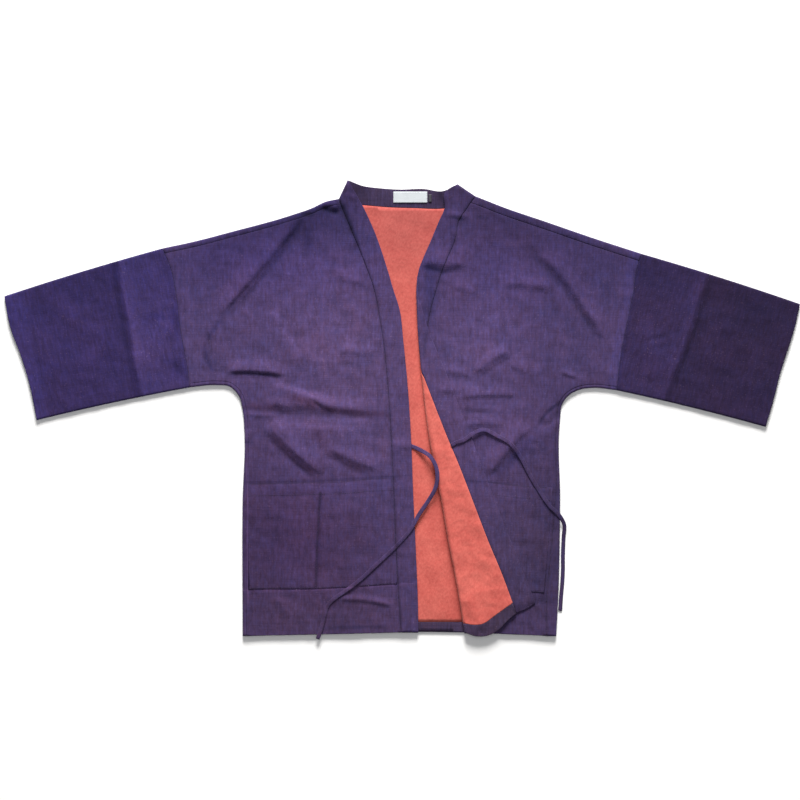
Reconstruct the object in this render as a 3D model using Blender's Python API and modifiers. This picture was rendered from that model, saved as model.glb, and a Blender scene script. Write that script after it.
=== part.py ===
"""A lined noragi jacket laid out flat, its left front turned back to show the lining.

Numbers are millimetres until cloth() makes the meshes. X runs to the sleeves, Y to the neck
and Z up from the surface that the back lies on. Right and left are the wearer's, so the
right front lies at -X.
"""

import math
from collections import namedtuple

import bmesh
import bpy
import numpy as np
from mathutils import Vector, geometry

MM = 0.001

# Thickness of the cloths
SHELL = 1.6
LINING = 1.2
BAND = 2.4
POCKET = 1.2
TIE = 1.6
LABEL = 1.0

# Room between two pieces that touch, and under a pocket, whose folds follow the front's less exactly
GAP = 0.3
POCKET_GAP = 0.45

# Middle height of the fronts and the sleeves' upper side where no fold lifts them
REST = 6.2
# No trough sinks the upper side lower than this, which keeps it off the back lining
LOWEST = 4.5
# The collar band is thicker than the front beside it, and stands a little higher
BAND_PROUD = 0.3

# Round edges: how far in from the outline the cloth lies flat again
ROUND = 3.5
BAND_ROUND = 3.85
LAPEL_ROUND = 4.5
LAPEL_SHELL_OUT = LINING + GAP + SHELL / 2

# Middle heights of the layers that lie on the back
BACK_Z = SHELL / 2
BACK_LINING_Z = SHELL + GAP + LINING / 2
COLLAR_BACK_Z = BAND / 2

# Heights above the upper side of what the lapel is made of
LAPEL_SHELL_LIFT = 4.4
LAPEL_LINING_LIFT = LAPEL_SHELL_LIFT + SHELL / 2 + GAP + LINING / 2
LAPEL_BAND_LIFT = 5.2
# Troughs of the lapel sink no deeper than this towards the front under it
LAPEL_LOWEST = -0.9
# The lining lies this far inside the outline, and reaches this far under the folded front
LINING_INSET = 8.0
TUCK = 16.0

# Net sizes: points along outlines, inside panels, round a folded edge, along a tie, and along
# the left band's fold where it curls up and below that
EDGE_STEP = 24.0
GRID = 26.0
TURNS = 4
TIE_STEP = 14.0
CURL_STEPS = 4
TURNED_STEPS = 7
# Shares of the grid: step along a crest, room to the edge and between points there, and the
# same two for the points of the grid itself
CREST_STEP = 0.8
CREST_ROOM = 0.3
GRID_ROOM = 0.45
GRID_SPACING = 0.6
# Hem points nearer than this to a corner are left out
CORNER_ROOM = 5.0
# Points nearer than this to each other become one
WELD = 0.02
# Share of a fold's length over which each of its ends fades, on the fronts and on the lapel
FADE = 0.22
LAPEL_FADE = 0.3

ROUGHNESS = 0.9

CLOTH = (0.079, 0.058, 0.155)
CLOTH_INSIDE = (0.062, 0.045, 0.105)
RED = (0.62, 0.132, 0.115)
WHITE = (0.62, 0.66, 0.70)


def table(columns, *rows):
    """Rows of numbers with named columns"""
    row = namedtuple("Row", columns)
    return [row(*values) for values in rows]


# Outlines of the body, from the hem up to the sleeve and from the sleeve to the neck
SIDE_RIGHT = [
    (-287, -409), (-287, -165), (-284, -40), (-287, -4), (-295, 24), (-310, 39), (-335, 42), (-382, 38),
]
SIDE_LEFT = [
    (277, -409), (281, -330), (284, -165), (284, -20), (288, 8), (299, 23), (320, 34), (342, 37), (385, 33),
]
SHOULDER_RIGHT = [(-431, 288), (-371, 301), (-306, 318), (-198, 348), (-161, 361), (-137, 372), (-114, 377)]
SHOULDER_LEFT = [(431, 278), (342, 307), (255, 337), (190, 359), (131, 382)]
HEM = [(-287, -409), (-60, -404), (30, -402), (110, -403), (277, -409)]
NECK = [(-113, 374), (-95, 368), (-72, 366), (-26, 362), (20, 360.5), (77, 360), (108, 366), (130, 379)]
COLLAR_TOP = [(-98, 411), (-69, 400), (-47, 397), (-4, 394), (39, 395), (72, 391), (100, 403)]

# Seams between the body and the sleeves, and the cuffs, both from the top edge down
SLEEVE_SEAM_RIGHT = [(-431, 288), (-416, 251), (-405, 193), (-398, 136), (-387, 78), (-382, 38)]
SLEEVE_SEAM_LEFT = [(431, 278), (423, 257), (414, 201), (402, 143), (393, 96), (385, 33)]
CUFF_RIGHT = [(-715, 202), (-706, 152), (-683, 87), (-670, 44), (-657, -21)]
CUFF_LEFT = [(715, 188), (707, 152), (694, 109), (680, 66), (669, 22), (653, -33)]
# The sleeves' long edges bow up a little between the seam and the cuff
SLEEVE_BULGE = 2.2

# How far in from the outline the back's cloth reaches round onto the front
WRAP_SIDE_RIGHT = 7.0
WRAP_SHOULDER_RIGHT = 10.0
WRAP_SHOULDER_LEFT = 14.0
# On the left side it is wider near the hem: part is the share of the way from hem to sleeve
WRAP_SIDE_LEFT = table(
    "part width",
    (0.00, 18),
    (0.14, 21),
    (0.34, 13.5),
    (0.53, 6),
    (1.00, 6),
)

# The right collar band: its seam to the front, and its free edge
BAND_RIGHT = table(
    "y seam edge",
    (366, -110, -72),
    (323, -92, -52),
    (256, -65, -28.5),
    (217, -51, -17),
    (172, -42, -3.5),
    (130, -35, 1),
    (44, -26, 9.5),
    (-57, -19.5, 16),
    (-150, -15, 19.5),
    (-258, -10.5, 24.5),
    (-345, -5.5, 28),
    (-402.7, -2, 29),
)
# The left collar band above its fold, where its outer face shows
BAND_LEFT = table(
    "y seam edge",
    (360, 116, 76),
    (339, 102, 67),
    (303, 95, 52),
    (273, 82, 39),
    (246, 71, 28.5),
    (217, 62, 25),
    (190, 54, 25.5),
    (145, 45, 27.5),
    (79, 37.7, 33),
)
# The left front turned back: the fold, the seam of its band, and the band's free edge
LAPEL = table(
    "y fold seam edge",
    (273, 39, 39, 39),
    (246, 28.5, 31, 28.5),
    (217, 25, 31, 25),
    (190, 25.5, 31, 32.5),
    (145, 27.5, 32, 46),
    (66, 34, 36, 78),
    (22, 38.5, 52, 95),
    (-42, 46.5, 77, 121),
    (-107, 58, 104, 144),
    (-172, 71, 129, 169.5),
    (-237, 82, 154, 195),
    (-302, 95, 181, 221),
    (-348, 103, 198, 239),
    (-366, 106, 205, 246),
    (-420, 114, 226, 267),
)
# The band curls up here, is turned over fully here, and here its seam crosses the fold
CURL_TOP = 262.0
CURL_END = 190.0
CROSS_LOW = 79.0
CROSS_HIGH = 56.0
# Clearance along the fold between the band and the front, where their seam runs round it
CROSS_ROOM = 1.6
# The fold meets the hem here, and the band's corner lies here
FOLD_HEM_Y = -403.5
LAPEL_END_Y = -349.0
# Seam of the band on the lapel below where it crosses the fold
LAPEL_SEAM = [
    (52, 22), (77, -42), (104, -107), (129, -172), (154, -237), (181, -302), (198, -348), (205, -367),
]

# Ends of the two places where the band turns over at the neck: seam side, then free side
NECK_FOLD_RIGHT = ((-114, 377), (-98, 411))
NECK_FOLD_LEFT = ((131, 382), (100, 403))
# Share of their length that they stay clear of the shoulder
NECK_ROOM = 0.03

# Hem of the lapel from the fold to the corner of the band, and its facing's upper edge
LAPEL_HEM = [(116, -403.5), (131, -408.5), (151, -408), (171, -399), (189, -381), (205, -367)]
LAPEL_BAND_END = [(205, -367), (228, -357), (239, -349)]
FACING_TOP = [(113.5, -386), (126, -388), (142, -387), (170, -369), (198, -349)]
BACK_FACING_Y = -384.0

# Heights of the folds: a row runs from x0, y0 to x1, y1 and bows to its left by bow. Its
# sides slope away over the widths left and right, and rise is negative for a trough.
FOLDS = table(
    "x0 y0 x1 y1 bow left right rise",
    # Right front, soft swells
    (-215, 290, -110, 40, 20, 60, 60, 1.6),
    (-250, -60, -40, -40, 0, 60, 70, 1.0),
    (-150, -150, -140, -390, 0, 70, 70, 0.9),
    # Right front, from the neck to the armhole
    (-172, 356, -340, 160, 4, 5, 26, 3.2),
    (-164, 346, -326, 148, 4, 8, 5, -1.6),
    (-139, 364, -114, 350, 0, 8, 7, -1.7),
    (-107, 372, -84, 310, 0, 5, 9, -1.7),
    (-164, 368, -109, 363, 1, 6, 10, 1.8),
    (-173, 330, -173, 262, 0, 12, 12, -1.0),
    (-247, 195, -166, 78, -8, 8, 18, 1.8),
    (-128, 240, -66, 224, 2, 16, 8, 1.6),
    (-118, 104, -48, 98, 2, 12, 7, 1.5),
    # Right front, under the arm
    (-359, 98, -310, 62, -8, 12, 6, -1.6),
    (-322, 68, -204, 62, 3, 18, 4, 3.0),
    (-316, 57, -210, 52, 2, 4, 6, -1.6),
    (-240, 41, -146, 11, 4, 6, 14, 3.2),
    (-176, 20, -118, -4, 2, 12, 5, 1.8),
    (-272, 10, -38, -6, 4, 14, 8, 2.4),
    (-268, -10, -50, -18, 3, 7, 8, -1.2),
    (-262, -36, -60, -44, 3, 9, 20, 1.8),
    (-286, -8, -224, -12, -2, 4, 8, 1.5),
    (-274, -36, -279, -62, 0, 8, 8, 1.4),
    # Right front, over the pocket and near the hem
    (-245, -22, -137, -120, -5, 16, 6, 2.8),
    (-258, -36, -148, -134, -5, 5, 7, -1.0),
    (-134, -66, -38, -110, -3, 16, 6, 2.4),
    (-144, -80, -48, -126, -3, 5, 7, -1.0),
    (-122, -342, -8, -356, 5, 7, 5, 2.0),
    # The tie's end lifts the right band
    (-24, -62, 34, -70, 0, 9, 9, 1.4),
    # Left front, soft swells
    (230, 270, 150, 40, 0, 60, 60, 1.6),
    (200, 20, 225, -90, 0, 40, 40, 1.2),
    (215, -130, 225, -300, 0, 40, 30, 0.8),
    # Left front, across the chest
    (246, 286, 362, 128, 8, 24, 6, 2.8),
    (238, 276, 350, 118, 8, 5, 6, -1.0),
    (34, 266, 124, 262, -2, 16, 7, 2.4),
    (32, 252, 112, 246, -3, 5, 8, -1.2),
    (90, 222, 136, 212, 0, 12, 7, 1.4),
    (180, 226, 270, 216, 3, 14, 8, 1.8),
    (100, 330, 112, 270, 0, 14, 14, 1.4),
    (126, 62, 194, 107, 3, 14, 6, 2.4),
    (134, 50, 202, 94, 3, 4, 6, -1.0),
    (66, 72, 128, 60, 0, 12, 7, 1.5),
    (190, 84, 256, 64, -3, 14, 8, 1.6),
    (60, 34, 150, 30, 3, 12, 8, 1.4),
    (92, 20, 214, 24, 3, 10, 4, 1.8),
    (104, -8, 160, -11, 2, 7, 6, -1.4),
    (112, -26, 180, -28, 2, 10, 6, 1.8),
    # Left front, under the arm and near the hem
    (283, 68, 314, 57, -1, 8, 3, 1.6),
    (291, 8, 244, -34, 9, 6, 8, -1.7),
    (276, -14, 236, -66, 0, 14, 16, 2.0),
    (238, -24, 148, -124, -3, 7, 20, 2.6),
    (228, -38, 152, -134, -3, 7, 5, -1.2),
    (239, -342, 259, -392, 0, 10, 10, -1.0),
    # Sleeves: the pressed crease, and soft folds near the seam and the cuff
    (-512, 272, -468, 24, -4, 16, 5, 2.4),
    (-520, 270, -477, 28, -4, 5, 10, -0.9),
    (-600, 200, -560, 60, 10, 30, 30, 1.2),
    (-430, 180, -470, 60, 10, 20, 20, 1.4),
    (-640, 150, -620, 30, 0, 24, 24, 1.0),
    (551, 250, 477, 34, 5, 5, 16, 2.4),
    (560, 248, 486, 34, 5, 10, 5, -0.9),
    (600, 190, 560, 60, -8, 30, 30, 1.2),
    (430, 170, 470, 50, -8, 20, 20, 1.4),
    (650, 140, 625, 20, 0, 24, 24, 1.0),
)
# Height of the folds of the lapel, over the front that it lies on
LAPEL_FOLDS = table(
    "x0 y0 x1 y1 bow left right rise",
    (95, -320, 122, -400, 0, 9, 6, -1.2),
    (116, -320, 146, -412, 0, 14, 18, 2.6),
    (70, -60, 150, -260, 6, 14, 18, 1.0),
)

# The ties lie on the jacket: x, y and z of their middle line
TIE_WIDTH = 7.2
TIE_RIGHT = [
    (-8, -63, 4.6), (6, -65, 4.6), (20, -69, 4.8), (35, -76, 8), (48, -84, 13.6), (60, -103, 15.8),
    (63, -125, 15.8), (58, -146, 14), (46, -167, 9.4), (31, -189, 8.6), (15, -217, 9.5),
    (-12, -248, 9.8), (-45, -279, 10.6), (-74, -306, 10.7), (-104, -329, 10.4), (-123, -342, 9.6),
    (-134, -354, 9.2), (-140, -373, 9), (-146, -397, 8.9), (-152, -414, 8.4),
]
TIE_LEFT = [
    (88, -66, 14.6), (97, -61, 14.9), (110, -57, 14.6), (127, -45, 13.3), (146, -38, 10.8),
    (168, -48, 10.8), (195, -64, 12), (213, -88, 10), (229, -119, 9.6), (247, -149, 10.2),
    (266, -176, 10), (282, -192, 9.2), (291.2, -209, 5.4), (290.4, -230, 2.2), (289.2, -262, 1.4),
    (289, -292, 1.3), (287.6, -318, 1.3), (285.4, -343, 1.3), (284.2, -364, 1.3),
]

# Pockets: corners of the right one, and the left one's edges where it shows
POCKET_RIGHT_TOP = [(-277, -135), (-220, -133.5), (-152, -132), (-114, -131), (-68, -127), (-18, -124)]
POCKET_RIGHT_LOW = [(-277, -325), (-166, -324), (-112, -322), (-63, -319), (-9, -315)]
POCKET_LEFT_TOP = [(86, -126), (153, -131), (200, -137), (270, -142)]
POCKET_LEFT_LOW = [(112, -328), (180, -329), (255, -331)]

LABEL_CORNER = (-16, 370)
LABEL_SIZE = (61, 20)
TAB_CORNER = (47, 371)
TAB_SIZE = (6, 14)


def spline(knots, values, place):
    """Value at a place of the smooth curve through values at rising knots"""
    last = len(knots) - 1
    i = min(max(int(np.searchsorted(knots, place)) - 1, 0), last - 1)

    def slope(k):
        if k in (0, last):
            j = min(k, last - 1)
            return (values[j + 1] - values[j]) / (knots[j + 1] - knots[j])
        before = knots[k] - knots[k - 1]
        after = knots[k + 1] - knots[k]
        rise = (values[k] - values[k - 1]) / before * after
        fall = (values[k + 1] - values[k]) / after * before
        return (rise + fall) / (before + after)

    width = knots[i + 1] - knots[i]
    t = (place - knots[i]) / width
    start = (2 * t ** 3 - 3 * t ** 2 + 1) * values[i] + (t ** 3 - 2 * t ** 2 + t) * width * slope(i)
    end = (3 * t ** 2 - 2 * t ** 3) * values[i + 1] + (t ** 3 - t ** 2) * width * slope(i + 1)
    return start + end


def curve(points, step=EDGE_STEP, count=None):
    """Evenly spaced points along the smooth line through a few points, in 2D or 3D"""
    knots = [0.0]
    for a, b in zip(points, points[1:]):
        knots.append(knots[-1] + math.dist(a, b))
    count = count or max(1, round(knots[-1] / step))
    places = [knots[-1] * i / count for i in range(count + 1)]
    axes = range(len(points[0]))
    return [tuple(spline(knots, [p[a] for p in points], s) for a in axes) for s in places]


def read(rows, column, y):
    """Value in a table's column at a height y, smooth between the rows"""
    knots = [row.y for row in reversed(rows)]
    values = [getattr(row, column) for row in reversed(rows)]
    return spline(knots, values, y)


def column_line(rows, column, start=(), step=EDGE_STEP):
    """Smooth line down a table's column, after the points that it starts with"""
    return curve(list(start) + [(getattr(row, column), row.y) for row in rows], step)


def heading(a, b):
    """Unit vector from one point to another"""
    length = math.dist(a[:2], b[:2])
    return ((b[0] - a[0]) / length, (b[1] - a[1]) / length)


def moved(line, depth):
    """A line moved to its left by a depth, which may depend on the share of the way along it"""
    out = []
    last = len(line) - 1
    for i, point in enumerate(line):
        way = heading(line[max(i - 1, 0)], line[min(i + 1, last)])
        d = depth(i / last) if callable(depth) else depth
        out.append((point[0] - way[1] * d, point[1] + way[0] * d))
    return out


def inset(edge, depth, turn, start, end):
    """An outline moved inward by a depth, its ends kept on the lines that meet it there"""
    deep = depth if callable(depth) else (lambda part: depth)
    out = moved(edge, lambda part: deep(part) * turn)
    for place, near, slide, part in ((0, 1, start, 0), (-1, -2, end, 1)):
        way = heading(edge[place], edge[near])
        sine = abs(way[0] * slide[1] - way[1] * slide[0])
        out[place] = tuple(edge[place][a] + slide[a] * deep(part) / sine for a in (0, 1))
    return out


def cut_off(line, length):
    """The line without its first stretch"""
    for i in range(1, len(line)):
        stretch = math.dist(line[i - 1], line[i])
        if length < stretch:
            t = length / stretch
            start = tuple(a + (b - a) * t for a, b in zip(line[i - 1], line[i]))
            return [start] + line[i:]
        length -= stretch
    return line[-1:]


def trimmed(line, first, last):
    """The line without a length at each end"""
    return cut_off(cut_off(line, first)[::-1], last)[::-1]


def mixed(a, b, share):
    """Point between two points"""
    return tuple(p + (q - p) * share for p, q in zip(a, b))


def rise_of(rows, x, y, fade=FADE):
    """Height that the folds of a table add at x, y, which may be arrays"""
    total = np.zeros_like(np.asarray(x, float))
    for fold in rows:
        run = (fold.x1 - fold.x0, fold.y1 - fold.y0)
        length = math.hypot(*run)
        t = ((x - fold.x0) * run[0] + (y - fold.y0) * run[1]) / length ** 2
        side = ((y - fold.y0) * run[0] - (x - fold.x0) * run[1]) / length
        t = np.clip(t, 0, 1)
        away = side - fold.bow * 4 * t * (1 - t)
        wide = np.where(away > 0, fold.left, fold.right)
        ends = np.clip(np.minimum(t, 1 - t) / fade, 0, 1)
        ends = ends * ends * (3 - 2 * ends)
        total = total + fold.rise * ends * np.exp(-(away / wide) ** 2)
    return total


def top(x, y):
    """Middle height of the fronts and of the sleeves' upper side"""
    return np.maximum(REST + rise_of(FOLDS, x, y), LOWEST)


def band_top(x, y):
    """The same for the collar bands"""
    return top(x, y) + BAND_PROUD


def lapel_top(x, y, lift=0.0):
    """Middle height of a layer of the lapel, which lies on the front"""
    return top(x, y) + np.maximum(rise_of(LAPEL_FOLDS, x, y, LAPEL_FADE), LAPEL_LOWEST) + lift


def level(height):
    """A flat surface"""
    return lambda x, y: np.asarray(x, float) * 0 + height


def raised(surface, lift):
    """A surface at a height above another one"""
    return lambda x, y: surface(x, y) + lift


def lay(line, surface):
    """Points of a flat line with the height of a surface"""
    return [(p[0], p[1], float(surface(p[0], p[1]))) for p in line]


def edge_distance(spots, loop):
    """Distance of each point to a closed loop, and whether it lies inside"""
    nearest = np.full(len(spots), np.inf)
    inside = np.zeros(len(spots), bool)
    x, y = spots[:, 0], spots[:, 1]
    for a, b in zip(loop, loop[1:] + loop[:1]):
        run = np.subtract(b, a)
        t = np.clip(((x - a[0]) * run[0] + (y - a[1]) * run[1]) / max(run @ run, 1e-9), 0, 1)
        nearest = np.minimum(nearest, np.hypot(x - a[0] - t * run[0], y - a[1] - t * run[1]))
        if a[1] != b[1]:
            crosses = (a[1] > y) != (b[1] > y)
            inside ^= crosses & (x < a[0] + (y - a[1]) * run[0] / run[1])
    return nearest, inside


def fold_lines(fold, step):
    """Points along a fold's crest and both its feet"""
    run = (fold.x1 - fold.x0, fold.y1 - fold.y0)
    length = math.hypot(*run)
    count = max(2, round(length / step))
    spots = []
    for wide in (0, fold.left, -fold.right):
        for i in range(count + 1):
            t = i / count
            side = (fold.bow * 4 * t * (1 - t) + wide) / length
            spots.append((fold.x0 + run[0] * t - run[1] * side, fold.y0 + run[1] * t + run[0] * side))
    return spots


def inner_points(loop, folds, grid):
    """Points along the folds of a panel, and a triangular grid between them"""
    rise = grid * math.sqrt(3) / 2
    low = np.floor(np.min(loop, axis=0) / (grid, rise)).astype(int)
    high = np.ceil(np.max(loop, axis=0) / (grid, rise)).astype(int)
    rows, columns = range(low[1], high[1] + 1), range(low[0], high[0] + 1)
    spots = [((c + r % 2 / 2) * grid, r * rise) for r in rows for c in columns]
    crests = [spot for fold in folds for spot in fold_lines(fold, grid * CREST_STEP)]
    kinds = (
        (crests, grid * CREST_ROOM, grid * CREST_ROOM),
        (spots, grid * GRID_ROOM, grid * GRID_SPACING),
    )
    kept = []
    for candidates, room, spacing in kinds:
        candidates = np.array(candidates, float).reshape(-1, 2)
        nearest, inside = edge_distance(candidates, loop)
        for spot in candidates[inside & (nearest > room)]:
            if all(math.dist(spot, other) > spacing for other in kept):
                kept.append(tuple(spot))
    return kept


def fill(loop, surface, folds=(), grid=None):
    """A panel: triangles inside a closed loop, on a surface, with more points at its folds"""
    flat = [tuple(p[:2]) for p in loop]
    inner = inner_points(flat, folds, grid) if grid else []
    count = len(flat)
    sides = [(i, (i + 1) % count) for i in range(count)]
    corners = [Vector(p) for p in flat + inner]
    found, _, faces, _, _, _ = geometry.delaunay_2d_cdt(corners, sides, [], 1, 1e-6)
    return lay(found, surface), [list(face) for face in faces]


def net(rows, ring=False):
    """Quads between rows that have the same number of points"""
    wide = len(rows[0])
    points = [p for row in rows for p in row]
    faces = []
    for r in range(len(rows) - 1):
        for c in range(wide if ring else wide - 1):
            d = (c + 1) % wide
            faces.append([r * wide + c, r * wide + d, (r + 1) * wide + d, (r + 1) * wide + c])
    return points, faces


def roll(inner, outer, low, high, inner_high=None):
    """Rows round a folded edge: from inner at height low, over outer, and back at height high"""
    rows = []
    for k in range(TURNS + 1):
        turn = math.pi * k / TURNS
        row = []
        for a, b, c in zip(inner, outer, inner_high or inner):
            x, y = mixed(mixed(a, c, k / TURNS), b, math.sin(turn))
            below = float(low(*a))
            above = float(high(*c))
            row.append((x, y, (below + above) / 2 - (above - below) / 2 * math.cos(turn)))
        rows.append(row)
    return rows


def material(name, colour):
    """Plain cloth of one colour"""
    made = bpy.data.materials.new(name)
    made.use_nodes = True
    shader = made.node_tree.nodes["Principled BSDF"]
    shader.inputs["Base Color"].default_value = (*colour, 1)
    shader.inputs["Roughness"].default_value = ROUGHNESS
    shader.inputs["Metallic"].default_value = 0
    return made


def cloth(name, patches, thickness, colour):
    """One piece of cloth: its patches joined to one surface, with a wall of a thickness"""
    shape = bmesh.new()
    for points, faces in patches:
        corners = [shape.verts.new(Vector(p) * MM) for p in points]
        for face in faces:
            shape.faces.new([corners[i] for i in face])
    bmesh.ops.remove_doubles(shape, verts=shape.verts, dist=WELD * MM)
    bmesh.ops.dissolve_degenerate(shape, edges=shape.edges, dist=WELD * MM)
    bmesh.ops.recalc_face_normals(shape, faces=shape.faces)
    mesh = bpy.data.meshes.new(name)
    shape.to_mesh(mesh)
    shape.free()
    mesh.shade_smooth()
    mesh.materials.append(material(name, colour))
    piece = bpy.data.objects.new(name, mesh)
    jacket.objects.link(piece)
    wall = piece.modifiers.new("wall", "SOLIDIFY")
    wall.thickness = thickness * MM
    wall.offset = 0
    return piece


class Half:
    """Lines of one half of the body; turn is 1 where a line's left is inside, and -1 elsewhere"""

    def __init__(self, turn, side, shoulder, seam, cuff, neck_fold, band, free_edge):
        room = turn * GAP / 2
        self.turn = turn
        seam_line = curve(seam)
        self.body_seam = moved(seam_line, -room)
        self.sleeve_seam = moved(seam_line, room)
        self.cuff = curve(cuff, count=len(seam_line) - 1)
        band_seam = column_line(band, "seam", [neck_fold[0]])
        self.front_seam = moved(band_seam, room)
        self.band_seam = moved(band_seam, -room)
        self.free_edge = column_line(band, "edge", free_edge)
        self.side = curve(side)[:-1] + [self.body_seam[-1]]
        self.shoulder = [self.body_seam[0]] + curve(shoulder)[1:-1] + [self.front_seam[0]]
        self.neck_fold = curve([mixed(*neck_fold, NECK_ROOM), neck_fold[1]])

    def side_at(self, depth):
        """The side's outline from hem to sleeve, moved inward"""
        hem_way = (self.turn * -1.0, 0.0)
        return inset(self.side, depth, self.turn, hem_way, heading(self.body_seam[-1], self.body_seam[-2]))

    def shoulder_at(self, depth):
        """The shoulder's outline from sleeve to neck, moved inward"""
        seam_way = heading(self.body_seam[0], self.body_seam[1])
        return inset(self.shoulder, depth, self.turn, seam_way, heading(*self.front_seam[:2]))

    def neck_fold_at(self, depth, seam_way, edge_way):
        """The fold of the band at the neck, moved inward"""
        return inset(self.neck_fold, depth, self.turn, seam_way, edge_way)

    def seam_between(self, shoulder_line, side_line):
        """Points of the sleeve seam from a shoulder line down to a side line"""
        first = math.dist(self.body_seam[0], shoulder_line[0])
        last = math.dist(self.body_seam[-1], side_line[-1])
        return trimmed(self.body_seam, first, last)[1:-1]


def hem_between(x0, x1, lift=0.0):
    """Points of the hem between two places, from the first to the second"""
    low, high = min(x0, x1) + CORNER_ROOM, max(x0, x1) - CORNER_ROOM
    line = [(x, y + lift) for x, y in curve(HEM) if low < x < high]
    return line if x0 < x1 else line[::-1]


def wrap_left(part):
    """Width of the back's cloth on the left front"""
    parts = [row.part for row in WRAP_SIDE_LEFT]
    widths = [row.width for row in WRAP_SIDE_LEFT]
    return float(np.interp(part, parts, widths))


def wrapped(half, side_width, shoulder_width):
    """The back's rounded edges on one half, and its cloth on the front up to the seams"""
    patches = []
    for line_at, width in ((half.side_at, side_width), (half.shoulder_at, shoulder_width)):
        seam = (lambda part: width(part) - GAP / 2) if callable(width) else width - GAP / 2
        rows = roll(line_at(ROUND), line_at(SHELL / 2), level(BACK_Z), top)
        patches.append(net(rows + [lay(line_at(seam), top)]))
    return patches


def body_loop(depth_right, depth_left, shoulder_right, shoulder_left, neck, hem):
    """Closed outline of a layer of the back, moved inward from the jacket's outline"""
    side_r, side_l = RIGHT.side_at(depth_right), LEFT.side_at(depth_left)
    over_r, over_l = RIGHT.shoulder_at(shoulder_right), LEFT.shoulder_at(shoulder_left)
    loop = side_r + RIGHT.seam_between(over_r, side_r)[::-1] + over_r + neck
    return loop + over_l[::-1] + LEFT.seam_between(over_l, side_l) + side_l[::-1] + hem


def make_back():
    """Back, its lining, and the hem turned up inside it"""
    neck = moved(curve(NECK), -GAP / 2)[1:-1]
    side_r, side_l = RIGHT.side_at(ROUND), LEFT.side_at(ROUND)
    hem = hem_between(side_l[0][0], side_r[0][0])
    bottom = fill(body_loop(ROUND, ROUND, ROUND, ROUND, neck, hem), level(BACK_Z))
    wraps = wrapped(RIGHT, WRAP_SIDE_RIGHT, WRAP_SHOULDER_RIGHT)
    wraps += wrapped(LEFT, wrap_left, WRAP_SHOULDER_LEFT)
    cloth("back", [bottom] + wraps, SHELL, CLOTH)

    loop = body_loop(LINING_INSET, LINING_INSET, LINING_INSET, LINING_INSET, neck, [])
    facing_top = BACK_FACING_Y + GAP / 2
    lining = [(x, max(y, facing_top)) for x, y in loop]
    cloth("back_lining", [fill(lining, level(BACK_LINING_Z))], LINING, RED)

    low_r, low_l = RIGHT.side_at(LINING_INSET)[0], LEFT.side_at(LINING_INSET)[0]
    hem = hem_between(low_r[0], low_l[0], GAP)
    strip = [low_r] + hem + [low_l, (low_l[0], facing_top - GAP), (low_r[0], facing_top - GAP)]
    cloth("back_hem", [fill(strip, level(BACK_LINING_Z))], LINING, CLOTH_INSIDE)


def make_sleeve(name, half):
    """A sleeve: a flat tube, open at the seam and at the cuff"""
    armhole = mixed(half.sleeve_seam[0], half.sleeve_seam[-1], 0.5)
    count = round(math.dist(armhole, half.cuff[len(half.cuff) // 2]) / EDGE_STEP)
    rings = []
    for i in range(count + 1):
        across = [mixed(a, b, i / count) for a, b in zip(half.sleeve_seam, half.cuff)]
        bulge = SLEEVE_BULGE * 4 * (i / count) * (1 - i / count)
        across = [(x, y + bulge) for x, y in across]
        down = heading(across[0], across[1])
        up = heading(across[-1], across[-2])
        ends = [(across[0], down), (across[-1], up)]
        inner = [tuple(p[a] + way[a] * ROUND for a in (0, 1)) for p, way in ends]
        outer = [tuple(p[a] + way[a] * SHELL / 2 for a in (0, 1)) for p, way in ends]
        line = [inner[0]] + across[1:-1] + [inner[1]]
        low_edge = [row[0] for row in roll(inner[1:], outer[1:], level(BACK_Z), top)]
        top_edge = [row[0] for row in roll(inner[:1], outer[:1], level(BACK_Z), top)]
        lower, upper = lay(line, level(BACK_Z)), lay(line[::-1], top)
        rings.append(lower + low_edge[1:-1] + upper + top_edge[-2:0:-1])
    cloth(name, [net(rings, ring=True)], SHELL, CLOTH)


def make_front_right():
    """Right front, with its pocket"""
    width = WRAP_SIDE_RIGHT + GAP / 2
    side, over = RIGHT.side_at(width), RIGHT.shoulder_at(WRAP_SHOULDER_RIGHT + GAP / 2)
    seam = cut_off(RIGHT.front_seam, math.dist(RIGHT.front_seam[0], over[-1]))[1:]
    hem = hem_between(seam[-1][0], side[0][0])
    loop = side + RIGHT.seam_between(over, side)[::-1] + over + seam + hem
    cloth("front_right", [fill(loop, top, FOLDS, GRID)], SHELL, CLOTH)

    loop = curve(POCKET_RIGHT_TOP) + curve(POCKET_RIGHT_LOW)[::-1]
    lift = SHELL / 2 + POCKET_GAP + POCKET / 2
    cloth("pocket_right", [fill(loop, raised(top, lift), FOLDS, GRID)], POCKET, CLOTH)


def neck_roll(half, seam_low, edge_low):
    """The band turning over at the neck, down to the back of the collar"""
    seam_way, edge_way = heading(*half.band_seam[:2]), heading(*half.free_edge[:2])
    seam_mid, edge_mid = mixed(seam_way, seam_low, 0.5), mixed(edge_way, edge_low, 0.5)
    low = half.neck_fold_at(BAND_ROUND, seam_low, edge_low)
    high = half.neck_fold_at(BAND_ROUND, seam_way, edge_way)
    out = half.neck_fold_at(BAND / 2, seam_mid, edge_mid)
    return roll(low, out, level(COLLAR_BACK_Z), band_top, high)


def make_collar_right():
    """Right collar band, from the neck fold to the hem"""
    rows = neck_roll(RIGHT, NECK_WAY_RIGHT, COLLAR_WAY_RIGHT)
    start = rows[-1]
    seam = cut_off(RIGHT.band_seam, math.dist(RIGHT.band_seam[0], start[0][:2]))[1:]
    edge = cut_off(RIGHT.free_edge, math.dist(RIGHT.free_edge[0], start[-1][:2]))[1:]
    loop = [p[:2] for p in start] + edge + seam[::-1]
    cloth("collar_right", [net(rows), fill(loop, band_top, FOLDS, GRID)], BAND, CLOTH)


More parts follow.
